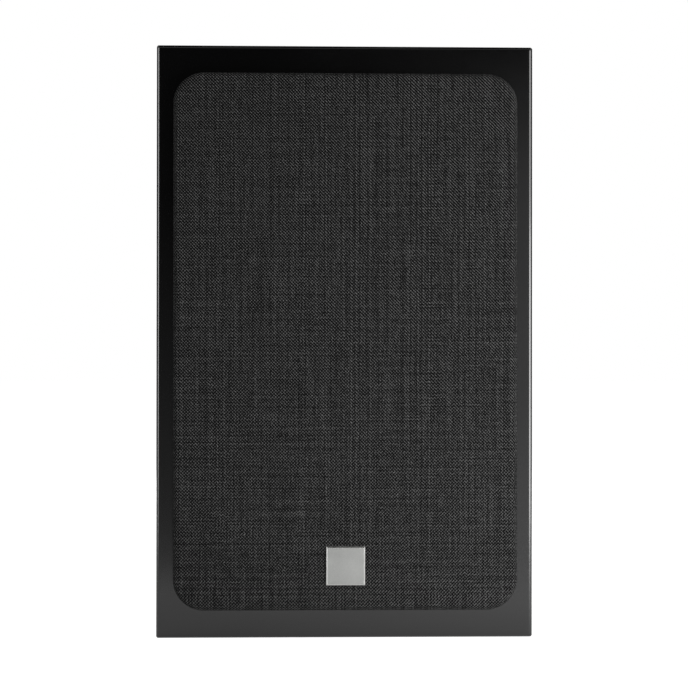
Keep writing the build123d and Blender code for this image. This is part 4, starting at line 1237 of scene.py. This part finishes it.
@dataclass(frozen=True)
class Ring:
    """A thin ring with half-round rolls between two flat rims. Sizes are in millimetres.

    The rolls fill the way from the first radius to the last, and stand forwards and backwards by turns. The
    rims' front face lies at the near depth behind the baffle. The skin is the modelled thickness, a little
    less than the CAD ring's wall. Points of the profile that are closer than the closest are one point.
    """

    inner: float
    outer: float
    first: float
    last: float
    rolls: int
    near: float
    wall: float
    skin: float
    closest: float = 0.02

    def profile(self) -> Profile:
        """Points of the ring's middle line, as radius and depth in metres.

        Returns:
            The profile.
        """
        rim = self.near + self.wall / 2.0
        radius = (self.last - self.first) / self.rolls / 2.0
        points = [(self.inner, rim), (self.first - self.wall / 2.0, rim)]
        for index in range(self.rolls):
            way = -1.0 if index % 2 == 0 else 1.0
            middle = self.first + (2 * index + 1) * radius
            for step in range(ROLL_STEPS + 1):
                angle = math.pi * step / ROLL_STEPS
                points.append((middle - radius * math.cos(angle), self.near + way * radius * math.sin(angle)))
        points += [(self.last + self.wall / 2.0, rim), (self.outer, rim)]
        clean = [points[0]]
        for point in points[1:]:
            if math.dist(point, clean[-1]) > self.closest:
                clean.append(point)
        return [(across * MM, depth * MM) for across, depth in clean]


@dataclass(frozen=True)
class VoiceCoil:
    """A winding: its bore, its radius over the turns, and its ends behind the baffle, in millimetres."""

    bore: float
    radius: float
    near: float
    far: float
    turns: int

    def profile(self) -> Profile:
        """Points of its section, with a ridge for each turn, as radius and depth in metres.

        Returns:
            The profile.
        """
        face = self.radius - (self.far - self.near) / self.turns / 2.0
        outer = ridges((face, self.far), (face, self.near), self.turns)
        points = [(self.bore, self.far), *outer, (self.bore, self.near), (self.bore, self.far)]
        return [(across * MM, depth * MM) for across, depth in points]


def ridges(start: tuple[float, float], end: tuple[float, float], count: int) -> Profile:
    """Half-round ridges of wire between two points of a profile.

    Args:
        start: First point, as radius and distance along the axis.
        end: Last point; the ridges stand out to the left of the way there.
        count: Number of ridges.

    Returns:
        The profile's points.
    """
    step = (Vector(end) - Vector(start)) / count
    side = Vector((-step.y, step.x)) / 2.0
    points = []
    for index in range(count):
        middle = Vector(start) + step * (index + 0.5)
        for part in range(RIDGE_STEPS):
            angle = math.pi * part / RIDGE_STEPS
            points.append(tuple(middle - step / 2.0 * math.cos(angle) + side * math.sin(angle)))
    points.append(end)
    return points


class SubAssembly:
    """Pieces that belong together, dressed on the CAD nodes or made anew."""

    def dress(self, finishes: Mapping[str, Finish]) -> None:
        """Give CAD nodes their finishes.

        Args:
            finishes: The finish of each node.
        """
        for node, finish in finishes.items():
            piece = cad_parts[node]
            for slot in piece.material_slots:
                slot.material = finish.material()
            log.info("%s: CAD piece in %s", node, finish.name)

    def fit(self, piece: bpy.types.Object, finish: Finish, node: str, slot: str) -> None:
        """Let a new piece stand for a CAD node.

        Args:
            piece: The new piece.
            finish: Its finish.
            node: The node that it stands for.
            slot: The record's material slot; not used.
        """
        piece.data.materials.clear()
        piece.data.materials.append(finish.material())
        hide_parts(node)
        log.info("%s: new piece for %s in %s", piece.name, node, finish.name)


class Driver(SubAssembly):
    """What the two drivers share: shapes turned about an axis that runs front to back."""

    height: float

    def spun(self, name: str, profile: Profile) -> bpy.types.Object:
        """Turn a profile of radius and depth behind the baffle's face."""
        centre = Vector((0.0, FRONT_Y, self.height))
        return Bench.turned(name, profile, centre, BACK, RIGHT)

    def wound(self, name: str, coil: VoiceCoil) -> bpy.types.Object:
        """A voice coil with its turns of wire on its outer face.

        Args:
            name: The piece's name.
            coil: The coil's sizes.

        Returns:
            The coil.
        """
        piece = self.spun(name, coil.profile())
        Bench.soften(piece, COIL_SMOOTH)
        return piece

    def rolled(self, name: str, ring: Ring) -> bpy.types.Object:
        """A soft ring with its rolls.

        Args:
            name: The piece's name.
            ring: The ring's sizes.

        Returns:
            The ring.
        """
        piece = self.spun(name, ring.profile())
        Bench.thicken(piece, ring.skin * MM)
        Bench.soften(piece)
        return piece

    def hang(self, piece: bpy.types.Object, body: str, ring: Ring) -> None:
        """Let a ring follow the moving body inside its rolls and the cabinet outside them.

        Args:
            piece: The ring's piece.
            body: The moving body.
            ring: The ring's sizes.
        """
        inner, outer = ring.first * MM, ring.last * MM
        start = (outer, FRONT_Y, self.height)
        end = (inner, FRONT_Y, self.height)
        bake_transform(piece, "cabinet", body, start=start, end=end)
        weights = piece.data.attributes["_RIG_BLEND"].data
        for vertex, weight in zip(piece.data.vertices, weights):
            radius = math.hypot(vertex.co.x, vertex.co.z - self.height)
            share = min(1.0, max(0.0, (outer - radius) / (outer - inner)))
            weight.value = share * share * (3.0 - 2.0 * share)


@dataclass
class Cabinet(SubAssembly):
    """The wooden box with its brace and wadding."""

    pad_inset: float = 1.5 * MM
    pad_bevel: float = 4.0 * MM
    pad_bevel_steps: int = 3
    pad_cuts: int = 14
    pad_lump: float = 3.0 * MM
    lump_size: float = 30.0 * MM
    lump_level: float = 0.75

    def build(self) -> None:
        """Dress the panels and stuff the sides."""
        self.dress(
            {
                "front_baffle": SATIN_LACQUER,
                "left_side_panel": UPRIGHT_WRAP,
                "right_side_panel": UPRIGHT_WRAP,
                "top_panel": DEEP_WRAP,
                "bottom_panel": DEEP_WRAP,
                "rear_panel": UPRIGHT_WRAP,
                "shelf_brace": FIBREBOARD,
            }
        )
        for hand in ("left", "right"):
            self._pad(hand)

    def _pad(self, hand: str) -> None:
        """One crowned pad of wadding with a lumpy face.

        Args:
            hand: Left or right.
        """
        low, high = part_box(f"{hand}_wadding")
        inset = Vector((self.pad_inset,) * 3)
        pad = Bench.block(f"{hand}_wadding_pad", low + inset, high - inset)
        with Bench.editing(pad):
            bpy.ops.mesh.select_all(action="SELECT")
            bpy.ops.mesh.bevel(offset=self.pad_bevel, segments=self.pad_bevel_steps, affect="EDGES")
            bpy.ops.mesh.select_all(action="SELECT")
            bpy.ops.mesh.subdivide(number_cuts=self.pad_cuts)
        lumps = bpy.data.textures.new(f"{hand}_lumps", "CLOUDS")
        lumps.noise_scale = self.lump_size
        swell = pad.modifiers.new("lumps", "DISPLACE")
        swell.texture = lumps
        swell.texture_coords = "LOCAL"
        swell.strength = self.pad_lump
        swell.mid_level = self.lump_level
        Bench.apply(pad, swell)
        Bench.soften(pad, PAD_SMOOTH)
        self.fit(pad, WADDING, f"{hand}_wadding", "wadding")
        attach(pad, "cabinet")


@dataclass
class Woofer(Driver):
    """The low driver. Its sizes, apart from its height, are in millimetres."""

    height: float = WOOFER_Z
    surround: Ring = Ring(
        inner=51.5, outer=72.5, first=55.5, last=65.5, rolls=1, near=1.0, wall=1.0, skin=0.96
    )
    spider: Ring = Ring(inner=16.5, outer=46.0, first=18.2, last=40.2, rolls=7, near=43.2, wall=0.8, skin=0.7)
    coil: VoiceCoil = VoiceCoil(bore=16.4, radius=17.3, near=55.0, far=69.0, turns=34)
    lead_radius: float = 0.6
    lead_side: float = 7.0
    lead_still: Point = (0.0, -82.5, 187.0)
    lead_end: Point = (0.0, -103.5, 160.25)

    def build(self) -> None:
        """Dress the metalwork and make the soft and wound pieces."""
        self.dress(
            {
                "woofer_basket": BASKET_PAINT,
                "woofer_gasket": FOAM,
                "woofer_cone": CONE_PAPER,
                "woofer_dust_cap": CONE_PAPER,
                "woofer_coil_former": STEEL,
                "woofer_top_plate": STEEL,
                "woofer_magnet": FERRITE,
                "woofer_yoke": STEEL,
                "woofer_terminal_strip": WOOFER_STRIP,
                "woofer_screws": BLACK_SCREW,
            }
        )
        self._surround()
        self._spider()
        self._coil()
        self._leads()

    def _surround(self) -> None:
        """Rubber roll round the cone."""
        roll = self.rolled("woofer_surround_roll", self.surround)
        self.fit(roll, RUBBER, "woofer_surround", "soft_rubber")
        self.hang(roll, "woofer_diaphragm", self.surround)

    def _spider(self) -> None:
        """Corrugated cloth ring behind the cone."""
        disc = self.rolled("woofer_spider_disc", self.spider)
        self.fit(disc, SPIDER_CLOTH, "woofer_spider", "spider_cloth")
        self.hang(disc, "woofer_diaphragm", self.spider)

    def _coil(self) -> None:
        """Winding on the former."""
        coil = self.wound("woofer_voice_coil_winding", self.coil)
        self.fit(coil, COPPER, "woofer_voice_coil", "copper_wire")
        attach(coil, "woofer_diaphragm")

    def _leads(self) -> None:
        """Two tinsel leads from the strip to the back of the cone."""
        routes = [
            [
                (x, -68.5, 186.9),
                (x, -82.5, 187.1),
                (x, -96.5, 187.1),
                (x, -102.0, 172.5),
                (x, -103.5, 160.25),
            ]
            for x in (-self.lead_side, self.lead_side)
        ]
        leads = Bench.wires("woofer_tinsel_leads", routes, self.lead_radius * MM)
        Bench.soften(leads, WIRE_SMOOTH)
        self.fit(leads, TINSEL, "woofer_flex_leads", "copper_wire")
        start = tuple(part * MM for part in self.lead_still)
        end = tuple(part * MM for part in self.lead_end)
        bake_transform(leads, "cabinet", "woofer_diaphragm", start=start, end=end)


@dataclass
class Tweeter(Driver):
    """The high driver. Its sizes, apart from its height, are in millimetres."""

    height: float = TWEETER_Z
    dome_radius: float = 14.6
    dome_rise: float = 5.2
    dome_depth: float = 7.5
    dome_wall: float = 0.36
    dome_steps: int = 20
    surround: Ring = Ring(
        inner=14.7, outer=24.0, first=15.15, last=18.15, rolls=1, near=7.2, wall=0.3, skin=0.28
    )
    coil: VoiceCoil = VoiceCoil(bore=14.0, radius=14.5, near=7.5, far=13.0, turns=24)

    def build(self) -> None:
        """Dress the metalwork and make the soft and wound pieces."""
        self.dress(
            {
                "tweeter_faceplate": BLACK_PLASTIC,
                "tweeter_gasket": FOAM,
                "tweeter_top_plate": STEEL,
                "tweeter_magnet": FERRITE,
                "tweeter_yoke": STEEL,
                "tweeter_rear_cup": BLACK_PLASTIC,
                "tweeter_terminal_strip": TWEETER_STRIP,
                "tweeter_screws": BLACK_SCREW,
            }
        )
        self._dome()
        self._surround()
        self._coil()

    def _dome(self) -> None:
        """Coated fabric dome."""
        sphere = (self.dome_radius**2 + self.dome_rise**2) / (2.0 * self.dome_rise)
        lean = math.asin(self.dome_radius / sphere)
        top = self.dome_depth - self.dome_rise
        profile = []
        for step in range(self.dome_steps + 1):
            angle = lean * step / self.dome_steps
            profile.append((sphere * math.sin(angle) * MM, (top + sphere * (1.0 - math.cos(angle))) * MM))
        dome = self.spun("tweeter_dome_cap", profile)
        Bench.thicken(dome, self.dome_wall * MM, -1.0)
        Bench.soften(dome)
        self.fit(dome, DOME_FABRIC, "tweeter_dome", "dome_fabric")
        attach(dome, "tweeter_diaphragm")

    def _surround(self) -> None:
        """Fabric roll round the dome."""
        roll = self.rolled("tweeter_surround_roll", self.surround)
        self.fit(roll, DOME_FABRIC, "tweeter_surround", "dome_fabric")
        self.hang(roll, "tweeter_diaphragm", self.surround)

    def _coil(self) -> None:
        """Winding under the dome."""
        coil = self.wound("tweeter_voice_coil_winding", self.coil)
        self.fit(coil, COPPER, "tweeter_voice_coil", "copper_wire")
        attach(coil, "tweeter_diaphragm")


@dataclass
class Grille(SubAssembly):
    """The pull-off grille: a moulded frame in stretched cloth, with a bare badge plate."""

    width: float = 223.0 * MM
    height: float = 347.6 * MM
    thickness: float = 12.0 * MM
    middle: float = 192.5 * MM
    corner_radius: float = 20.0 * MM
    edge_radius: float = 3.0 * MM
    hem: float = 11.0 * MM
    cloth: float = 0.8 * MM
    corner_steps: int = 16
    edge_steps: int = 6

    @property
    def cut(self) -> tuple[float, float]:
        """Width and height of the flat cut, with the sides and the hem."""
        margin = 2.0 * (self.thickness + self.hem)
        return self.width + margin, self.height + margin

    def build(self) -> None:
        """Dress the frame, the pegs and the badge, and stretch the cloth."""
        self.dress(
            {
                "grille_frame": GRILLE_PLASTIC,
                "grille_pegs": GRILLE_PLASTIC,
                "grille_cups": GRILLE_PLASTIC,
                "badge_plate": BADGE_METAL,
            }
        )
        cover = self._cover()
        self._lay_weave(cover)
        Bench.thicken(cover, self.cloth, -1.0)
        Bench.soften(cover, CLOTH_SMOOTH)
        self.fit(cover, GRILLE_CLOTH, "grille_cloth", "grille_cloth")
        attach(cover, "grille")

    def _cover(self) -> bpy.types.Object:
        """The cloth's outer face: front, rounded sides and the hem behind.

        Returns:
            The cover, without thickness.
        """
        front_y = FRONT_Y - self.thickness
        centre = (0.0, FRONT_Y, self.middle)
        cover = Bench.plate("grille_cloth_cover", self.width, self.height, centre)
        with Bench.editing(cover):
            bpy.ops.mesh.select_all(action="SELECT")
            bpy.ops.mesh.bevel(offset=self.corner_radius, segments=self.corner_steps, affect="VERTICES")
            bpy.ops.mesh.select_mode(type="FACE")
            bpy.ops.mesh.select_all(action="SELECT")
            bpy.ops.mesh.extrude_region_move(TRANSFORM_OT_translate={"value": (0.0, -self.thickness, 0.0)})
            Bench.pick(cover, Pick.EDGES, lambda edge: self._lies_at(edge, front_y))
            bpy.ops.mesh.bevel(offset=self.edge_radius, segments=self.edge_steps, affect="EDGES")
            Bench.pick(cover, Pick.FACES, lambda face: self._lies_at(face, FRONT_Y))
            bpy.ops.mesh.inset(thickness=self.hem)
            bpy.ops.mesh.delete(type="FACE")
            bpy.ops.mesh.select_all(action="SELECT")
            bpy.ops.mesh.normals_make_consistent(inside=False)
        return cover

    @staticmethod
    def _lies_at(part: Union[bmesh.types.BMEdge, bmesh.types.BMFace], y: float) -> bool:
        """Whether an edge or a face lies flat at one depth."""
        return all(abs(vertex.co.y - y) < FLAT for vertex in part.verts)

    def _lay_weave(self, cover: bpy.types.Object) -> None:
        """Map the cloth onto its flat cut, in metres, unrolled over the sides and the hem.

        Args:
            cover: The cover.
        """
        layer = cover.data.uv_layers.new(name="weave")
        for polygon in cover.data.polygons:
            for loop in polygon.loop_indices:
                place = cover.data.vertices[cover.data.loops[loop].vertex_index].co
                layer.data[loop].uv = self._unrolled(place)

    def _unrolled(self, place: Vector) -> tuple[float, float]:
        """Find where a point of the cloth lies on the flat cut.

        Args:
            place: The point.

        Returns:
            Its place across and along the cut, from the middle.
        """
        x, z = place.x, place.z - self.middle
        reach_x = abs(x) - (self.width / 2.0 - self.corner_radius)
        reach_z = abs(z) - (self.height / 2.0 - self.corner_radius)
        way = Vector((max(reach_x, 0.0), max(reach_z, 0.0)))
        if way.length < FLAT:
            return x, z
        inside = self.corner_radius - way.length
        way.normalize()
        way = Vector((math.copysign(way.x, x), math.copysign(way.y, z)))
        depth = place.y - (FRONT_Y - self.thickness)
        behind = inside * 2.0 if depth > self.thickness - FLAT else 0.0
        return tuple(Vector((x, z)) + way * (depth + behind))


class RearFittings(SubAssembly):
    """The port and the screw terminals."""

    def build(self) -> None:
        """Dress the moulded and plated pieces."""
        self.dress(
            {
                "port_tube": BLACK_PLASTIC,
                "terminal_cup": BLACK_PLASTIC,
                "terminal_gasket": FOAM,
                "terminal_screws": BLACK_SCREW,
                "red_post_stud": GOLD,
                "black_post_stud": GOLD,
                "red_post_collar": GOLD,
                "black_post_collar": GOLD,
                "red_post_knob": RED_PLASTIC,
                "black_post_knob": BLACK_PLASTIC,
                "post_nuts": GOLD,
                "post_tags": GOLD,
            }
        )


@dataclass(frozen=True)
class Inductor:
    """A coil on the board: its node, its place, and its sizes in millimetres."""

    node: str
    x: float
    y: float
    bore: float
    radius: float
    tall: float
    wire: float


@dataclass
class Crossover(SubAssembly):
    """The filter board and the inner wiring. Sizes are in millimetres."""

    board_top: float = 22.6
    lead_radius: float = 1.2
    inductors: tuple[Inductor, ...] = (
        Inductor("woofer_inductor", x=-20.0, y=15.0, bore=9.0, radius=22.0, tall=20.0, wire=1.0),
        Inductor("tweeter_inductor", x=26.0, y=55.0, bore=6.0, radius=13.0, tall=14.0, wire=0.7),
    )

    def build(self) -> None:
        """Dress the board, wind the inductors and run the wires."""
        self.dress(
            {
                "crossover_board": BOARD,
                "crossover_fixings": STEEL,
                "crossover_capacitors": FILM,
                "crossover_resistors": CEMENT,
            }
        )
        for inductor in self.inductors:
            self._wind(inductor)
        for node, routes in self._routes().items():
            wires = Bench.wires(f"{node}_wires", routes, self.lead_radius * MM)
            Bench.soften(wires, WIRE_SMOOTH)
            self.fit(wires, SLEEVE, node, "red_wire")
            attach(wires, "cabinet")

    def _wind(self, inductor: Inductor) -> None:
        """Wind one inductor, with ridges of wire on all its faces.

        Args:
            inductor: The inductor.
        """
        half = inductor.wire / 2.0
        inner, outer = (inductor.bore + half) * MM, (inductor.radius - half) * MM
        low, high = half * MM, (inductor.tall - half) * MM
        tall = round((inductor.tall - inductor.wire) / inductor.wire)
        wide = round((inductor.radius - inductor.bore - inductor.wire) / inductor.wire)
        profile = [
            *ridges((inner, low), (inner, high), tall),
            *ridges((inner, high), (outer, high), wide)[1:],
            *ridges((outer, high), (outer, low), tall)[1:],
            *ridges((outer, low), (inner, low), wide)[1:],
        ]
        centre = Vector((inductor.x, inductor.y, self.board_top)) * MM
        coil = Bench.turned(f"{inductor.node}_winding", profile, centre, UP, RIGHT)
        Bench.soften(coil, COIL_SMOOTH)
        self.fit(coil, COPPER, inductor.node, "copper_wire")
        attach(coil, "cabinet")

    def _routes(self) -> dict[str, list[list[Point]]]:
        """Control points of each pair of inner wires.

        Returns:
            The pair of routes for each lead's node, in millimetres.
        """
        sides = (-1.0, 1.0)
        top = self.board_top
        inlet = [
            [
                (side * 19.0, 103.7, 62.0),
                (side * 19.0, 88.7, 62.0),
                (side * 4.0, 74.0, 48.0),
                (side * 4.0, 74.0, top),
            ]
            for side in sides
        ]
        low = [
            [
                (side * 4.0, -12.0, top),
                (side * 4.0, -12.0, 48.6),
                (side * 4.0, -24.5, 80.6),
                (side * 4.0, -24.5, 163.1),
                (side * 7.0, -36.5, 193.1),
                (side * 7.0, -65.7, 193.1),
            ]
            for side in sides
        ]
        high = [
            [
                (40.0 + side * 2.5, 30.0, top),
                (40.0 + side * 2.5, 30.0, 50.6),
                (47.75 + side * 2.5, 16.0, 92.6),
                (47.75 + side * 2.5, 4.0, 198.5),
                (47.75 + side * 2.5, -14.0, 254.5),
                (16.0 + side * 7.0, -38.7, 294.1),
                (side * 7.0, -58.7, 298.1),
                (side * 7.0, -78.7, 298.1),
            ]
            for side in sides
        ]
        return {"input_lead": inlet, "woofer_lead": low, "tweeter_lead": high}


@dataclass(frozen=True)
class Lamp:
    """A soft lamp: where it stands, what it points at, its width, its height and its power in watts."""

    name: str
    place: Point
    target: Point
    width: float
    tall: float
    power: float
    lights: bool = True
    shows_in_gloss: bool = True


@dataclass(frozen=True)
class Flag:
    """A black card that only the gloss sees: its middle, its width, its height and its turn in degrees."""

    name: str
    centre: Point
    width: float
    tall: float
    turn: Point


@dataclass
class Studio:
    """Camera, floor, reflection card, lamps and world."""

    lens: float = 144.71
    sensor: float = 36.0
    eye: Point = (-0.08533, -1.9251, 0.18169)
    turn_degrees: Point = (90.295, -0.061, -2.697)
    fill: float = 0.18
    floor_size: float = 40.0
    card_width: float = 1.35
    card_height: float = 1.3
    card_centre: Point = (-0.225, -0.75, 0.65)
    lamps: tuple[Lamp, ...] = (
        Lamp("key", (0.58, -0.6, 0.16), (0.0, -0.13, 0.14), width=0.6, tall=0.28, power=4.35),
        Lamp(
            "low_fill", (0.05, -0.52, 0.05), (0.0, -0.13, 0.1), width=0.7, tall=0.06, power=0.75,
            shows_in_gloss=False,
        ),
        Lamp(
            "overhead", (0.0, 0.1, 2.2), (0.0, 0.0, 0.2), width=2.0, tall=2.0, power=11.0,
            shows_in_gloss=False,
        ),
        Lamp(
            "rear", (-0.9, 2.0, 0.9), (0.0, 0.1, 0.2), width=1.2, tall=1.2, power=20.0,
            shows_in_gloss=False,
        ),
        Lamp(
            "right_strip", (0.751, -0.762, 0.28), (0.12, -0.12, 0.2), width=0.57, tall=0.66, power=9.0,
            lights=False,
        ),
        Lamp(
            "left_strip", (-1.073, -0.67, 0.4), (-0.12, -0.12, 0.2), width=0.31, tall=0.9, power=9.0,
            lights=False,
        ),
    )
    flags: tuple[Flag, ...] = (
        Flag("right_flag", (1.25, 0.75, 0.6), width=1.7, tall=1.2, turn=(90.0, 0.0, 90.0)),
        Flag("left_flag", (-1.45, 0.75, 0.6), width=1.7, tall=1.2, turn=(90.0, 0.0, 90.0)),
        Flag("top_flag", (0.0, -0.6, 1.5), width=1.4, tall=2.6, turn=(0.0, 0.0, 0.0)),
    )

    def build(self) -> None:
        """Set up the studio around the object."""
        scene = bpy.context.scene
        scene.view_settings.view_transform = "Standard"
        self._camera(scene)
        self._floor()
        self._card()
        for lamp in self.lamps:
            self._lamp(lamp)
        for flag in self.flags:
            self._flag(flag)
        self._world(scene)

    def _camera(self, scene: bpy.types.Scene) -> None:
        """Stand the camera where the photograph was taken from.

        Args:
            scene: The scene that gets the camera.
        """
        data = bpy.data.cameras.new("camera")
        data.lens = self.lens
        data.sensor_width = self.sensor
        camera = bpy.data.objects.new("camera", data)
        camera.location = self.eye
        camera.rotation_euler = [math.radians(angle) for angle in self.turn_degrees]
        scene.collection.objects.link(camera)
        scene.camera = camera

    def _floor(self) -> None:
        """Lay the floor."""
        bpy.ops.object.select_all(action="DESELECT")
        bpy.ops.mesh.primitive_plane_add(size=self.floor_size, location=(0.0, 0.0, 0.0))
        floor = Bench.name(bpy.context.object, "floor")
        floor.data.materials.append(FLOOR.material())

    @staticmethod
    def _gloss_only(card: bpy.types.Object) -> None:
        """Keep a card out of all that is seen or lit, except gloss.

        Args:
            card: The card.
        """
        card.visible_camera = False
        card.visible_diffuse = False
        card.visible_transmission = False
        card.visible_shadow = False

    def _card(self) -> None:
        """Hang the graded card, between the camera and the object, for the baffle to reflect."""
        card = Bench.plate("reflection_card", self.card_width, self.card_height, self.card_centre)
        card.data.materials.append(CARD.material())
        self._gloss_only(card)

    def _flag(self, flag: Flag) -> None:
        """Hang one black card.

        Args:
            flag: The card's place and size.
        """
        bpy.ops.object.select_all(action="DESELECT")
        turn = [math.radians(angle) for angle in flag.turn]
        bpy.ops.mesh.primitive_plane_add(size=1.0, location=flag.centre, rotation=turn)
        card = Bench.name(bpy.context.object, flag.name)
        card.scale = (flag.width, flag.tall, 1.0)
        card.data.materials.append(FLAG_CLOTH.material())
        self._gloss_only(card)

    @staticmethod
    def _lamp(lamp: Lamp) -> None:
        """Hang one soft lamp and point it.

        Args:
            lamp: The lamp's place, size and power.
        """
        data = bpy.data.lights.new(lamp.name, "AREA")
        data.shape = "RECTANGLE"
        data.size = lamp.width
        data.size_y = lamp.tall
        data.energy = lamp.power
        light = bpy.data.objects.new(lamp.name, data)
        light.location = lamp.place
        aim = Vector(lamp.target) - Vector(lamp.place)
        light.rotation_euler = aim.to_track_quat("-Z", "Y").to_euler()
        light.visible_camera = False
        light.visible_diffuse = lamp.lights
        light.visible_glossy = lamp.shows_in_gloss
        bpy.context.scene.collection.objects.link(light)

    def _world(self, scene: bpy.types.Scene) -> None:
        """White surroundings to the camera and a low even fill on the object.

        Args:
            scene: The scene that gets the world.
        """
        world = bpy.data.worlds.new("white_room")
        graph = ShaderGraph(world)
        white = (1.0, 1.0, 1.0, 1.0)
        fill = graph.add("ShaderNodeBackground", {}, {"Color": white, "Strength": self.fill})
        bright = graph.add("ShaderNodeBackground", {}, {"Color": white, "Strength": 1.0})
        surface = graph.add("ShaderNodeMixShader", {}, {0: graph.seen(), 1: fill, 2: bright})
        graph.end(surface, "ShaderNodeOutputWorld")
        scene.world = world


def main() -> None:
    """Build the speaker and its studio."""
    logging.basicConfig(level=logging.INFO, format="%(message)s")
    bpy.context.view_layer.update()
    for assembly in (Cabinet(), Woofer(), Tweeter(), Grille(), RearFittings(), Crossover()):
        log.info("building %s", type(assembly).__name__)
        assembly.build()
    Studio().build()


if __name__ == "__main__":
    main()
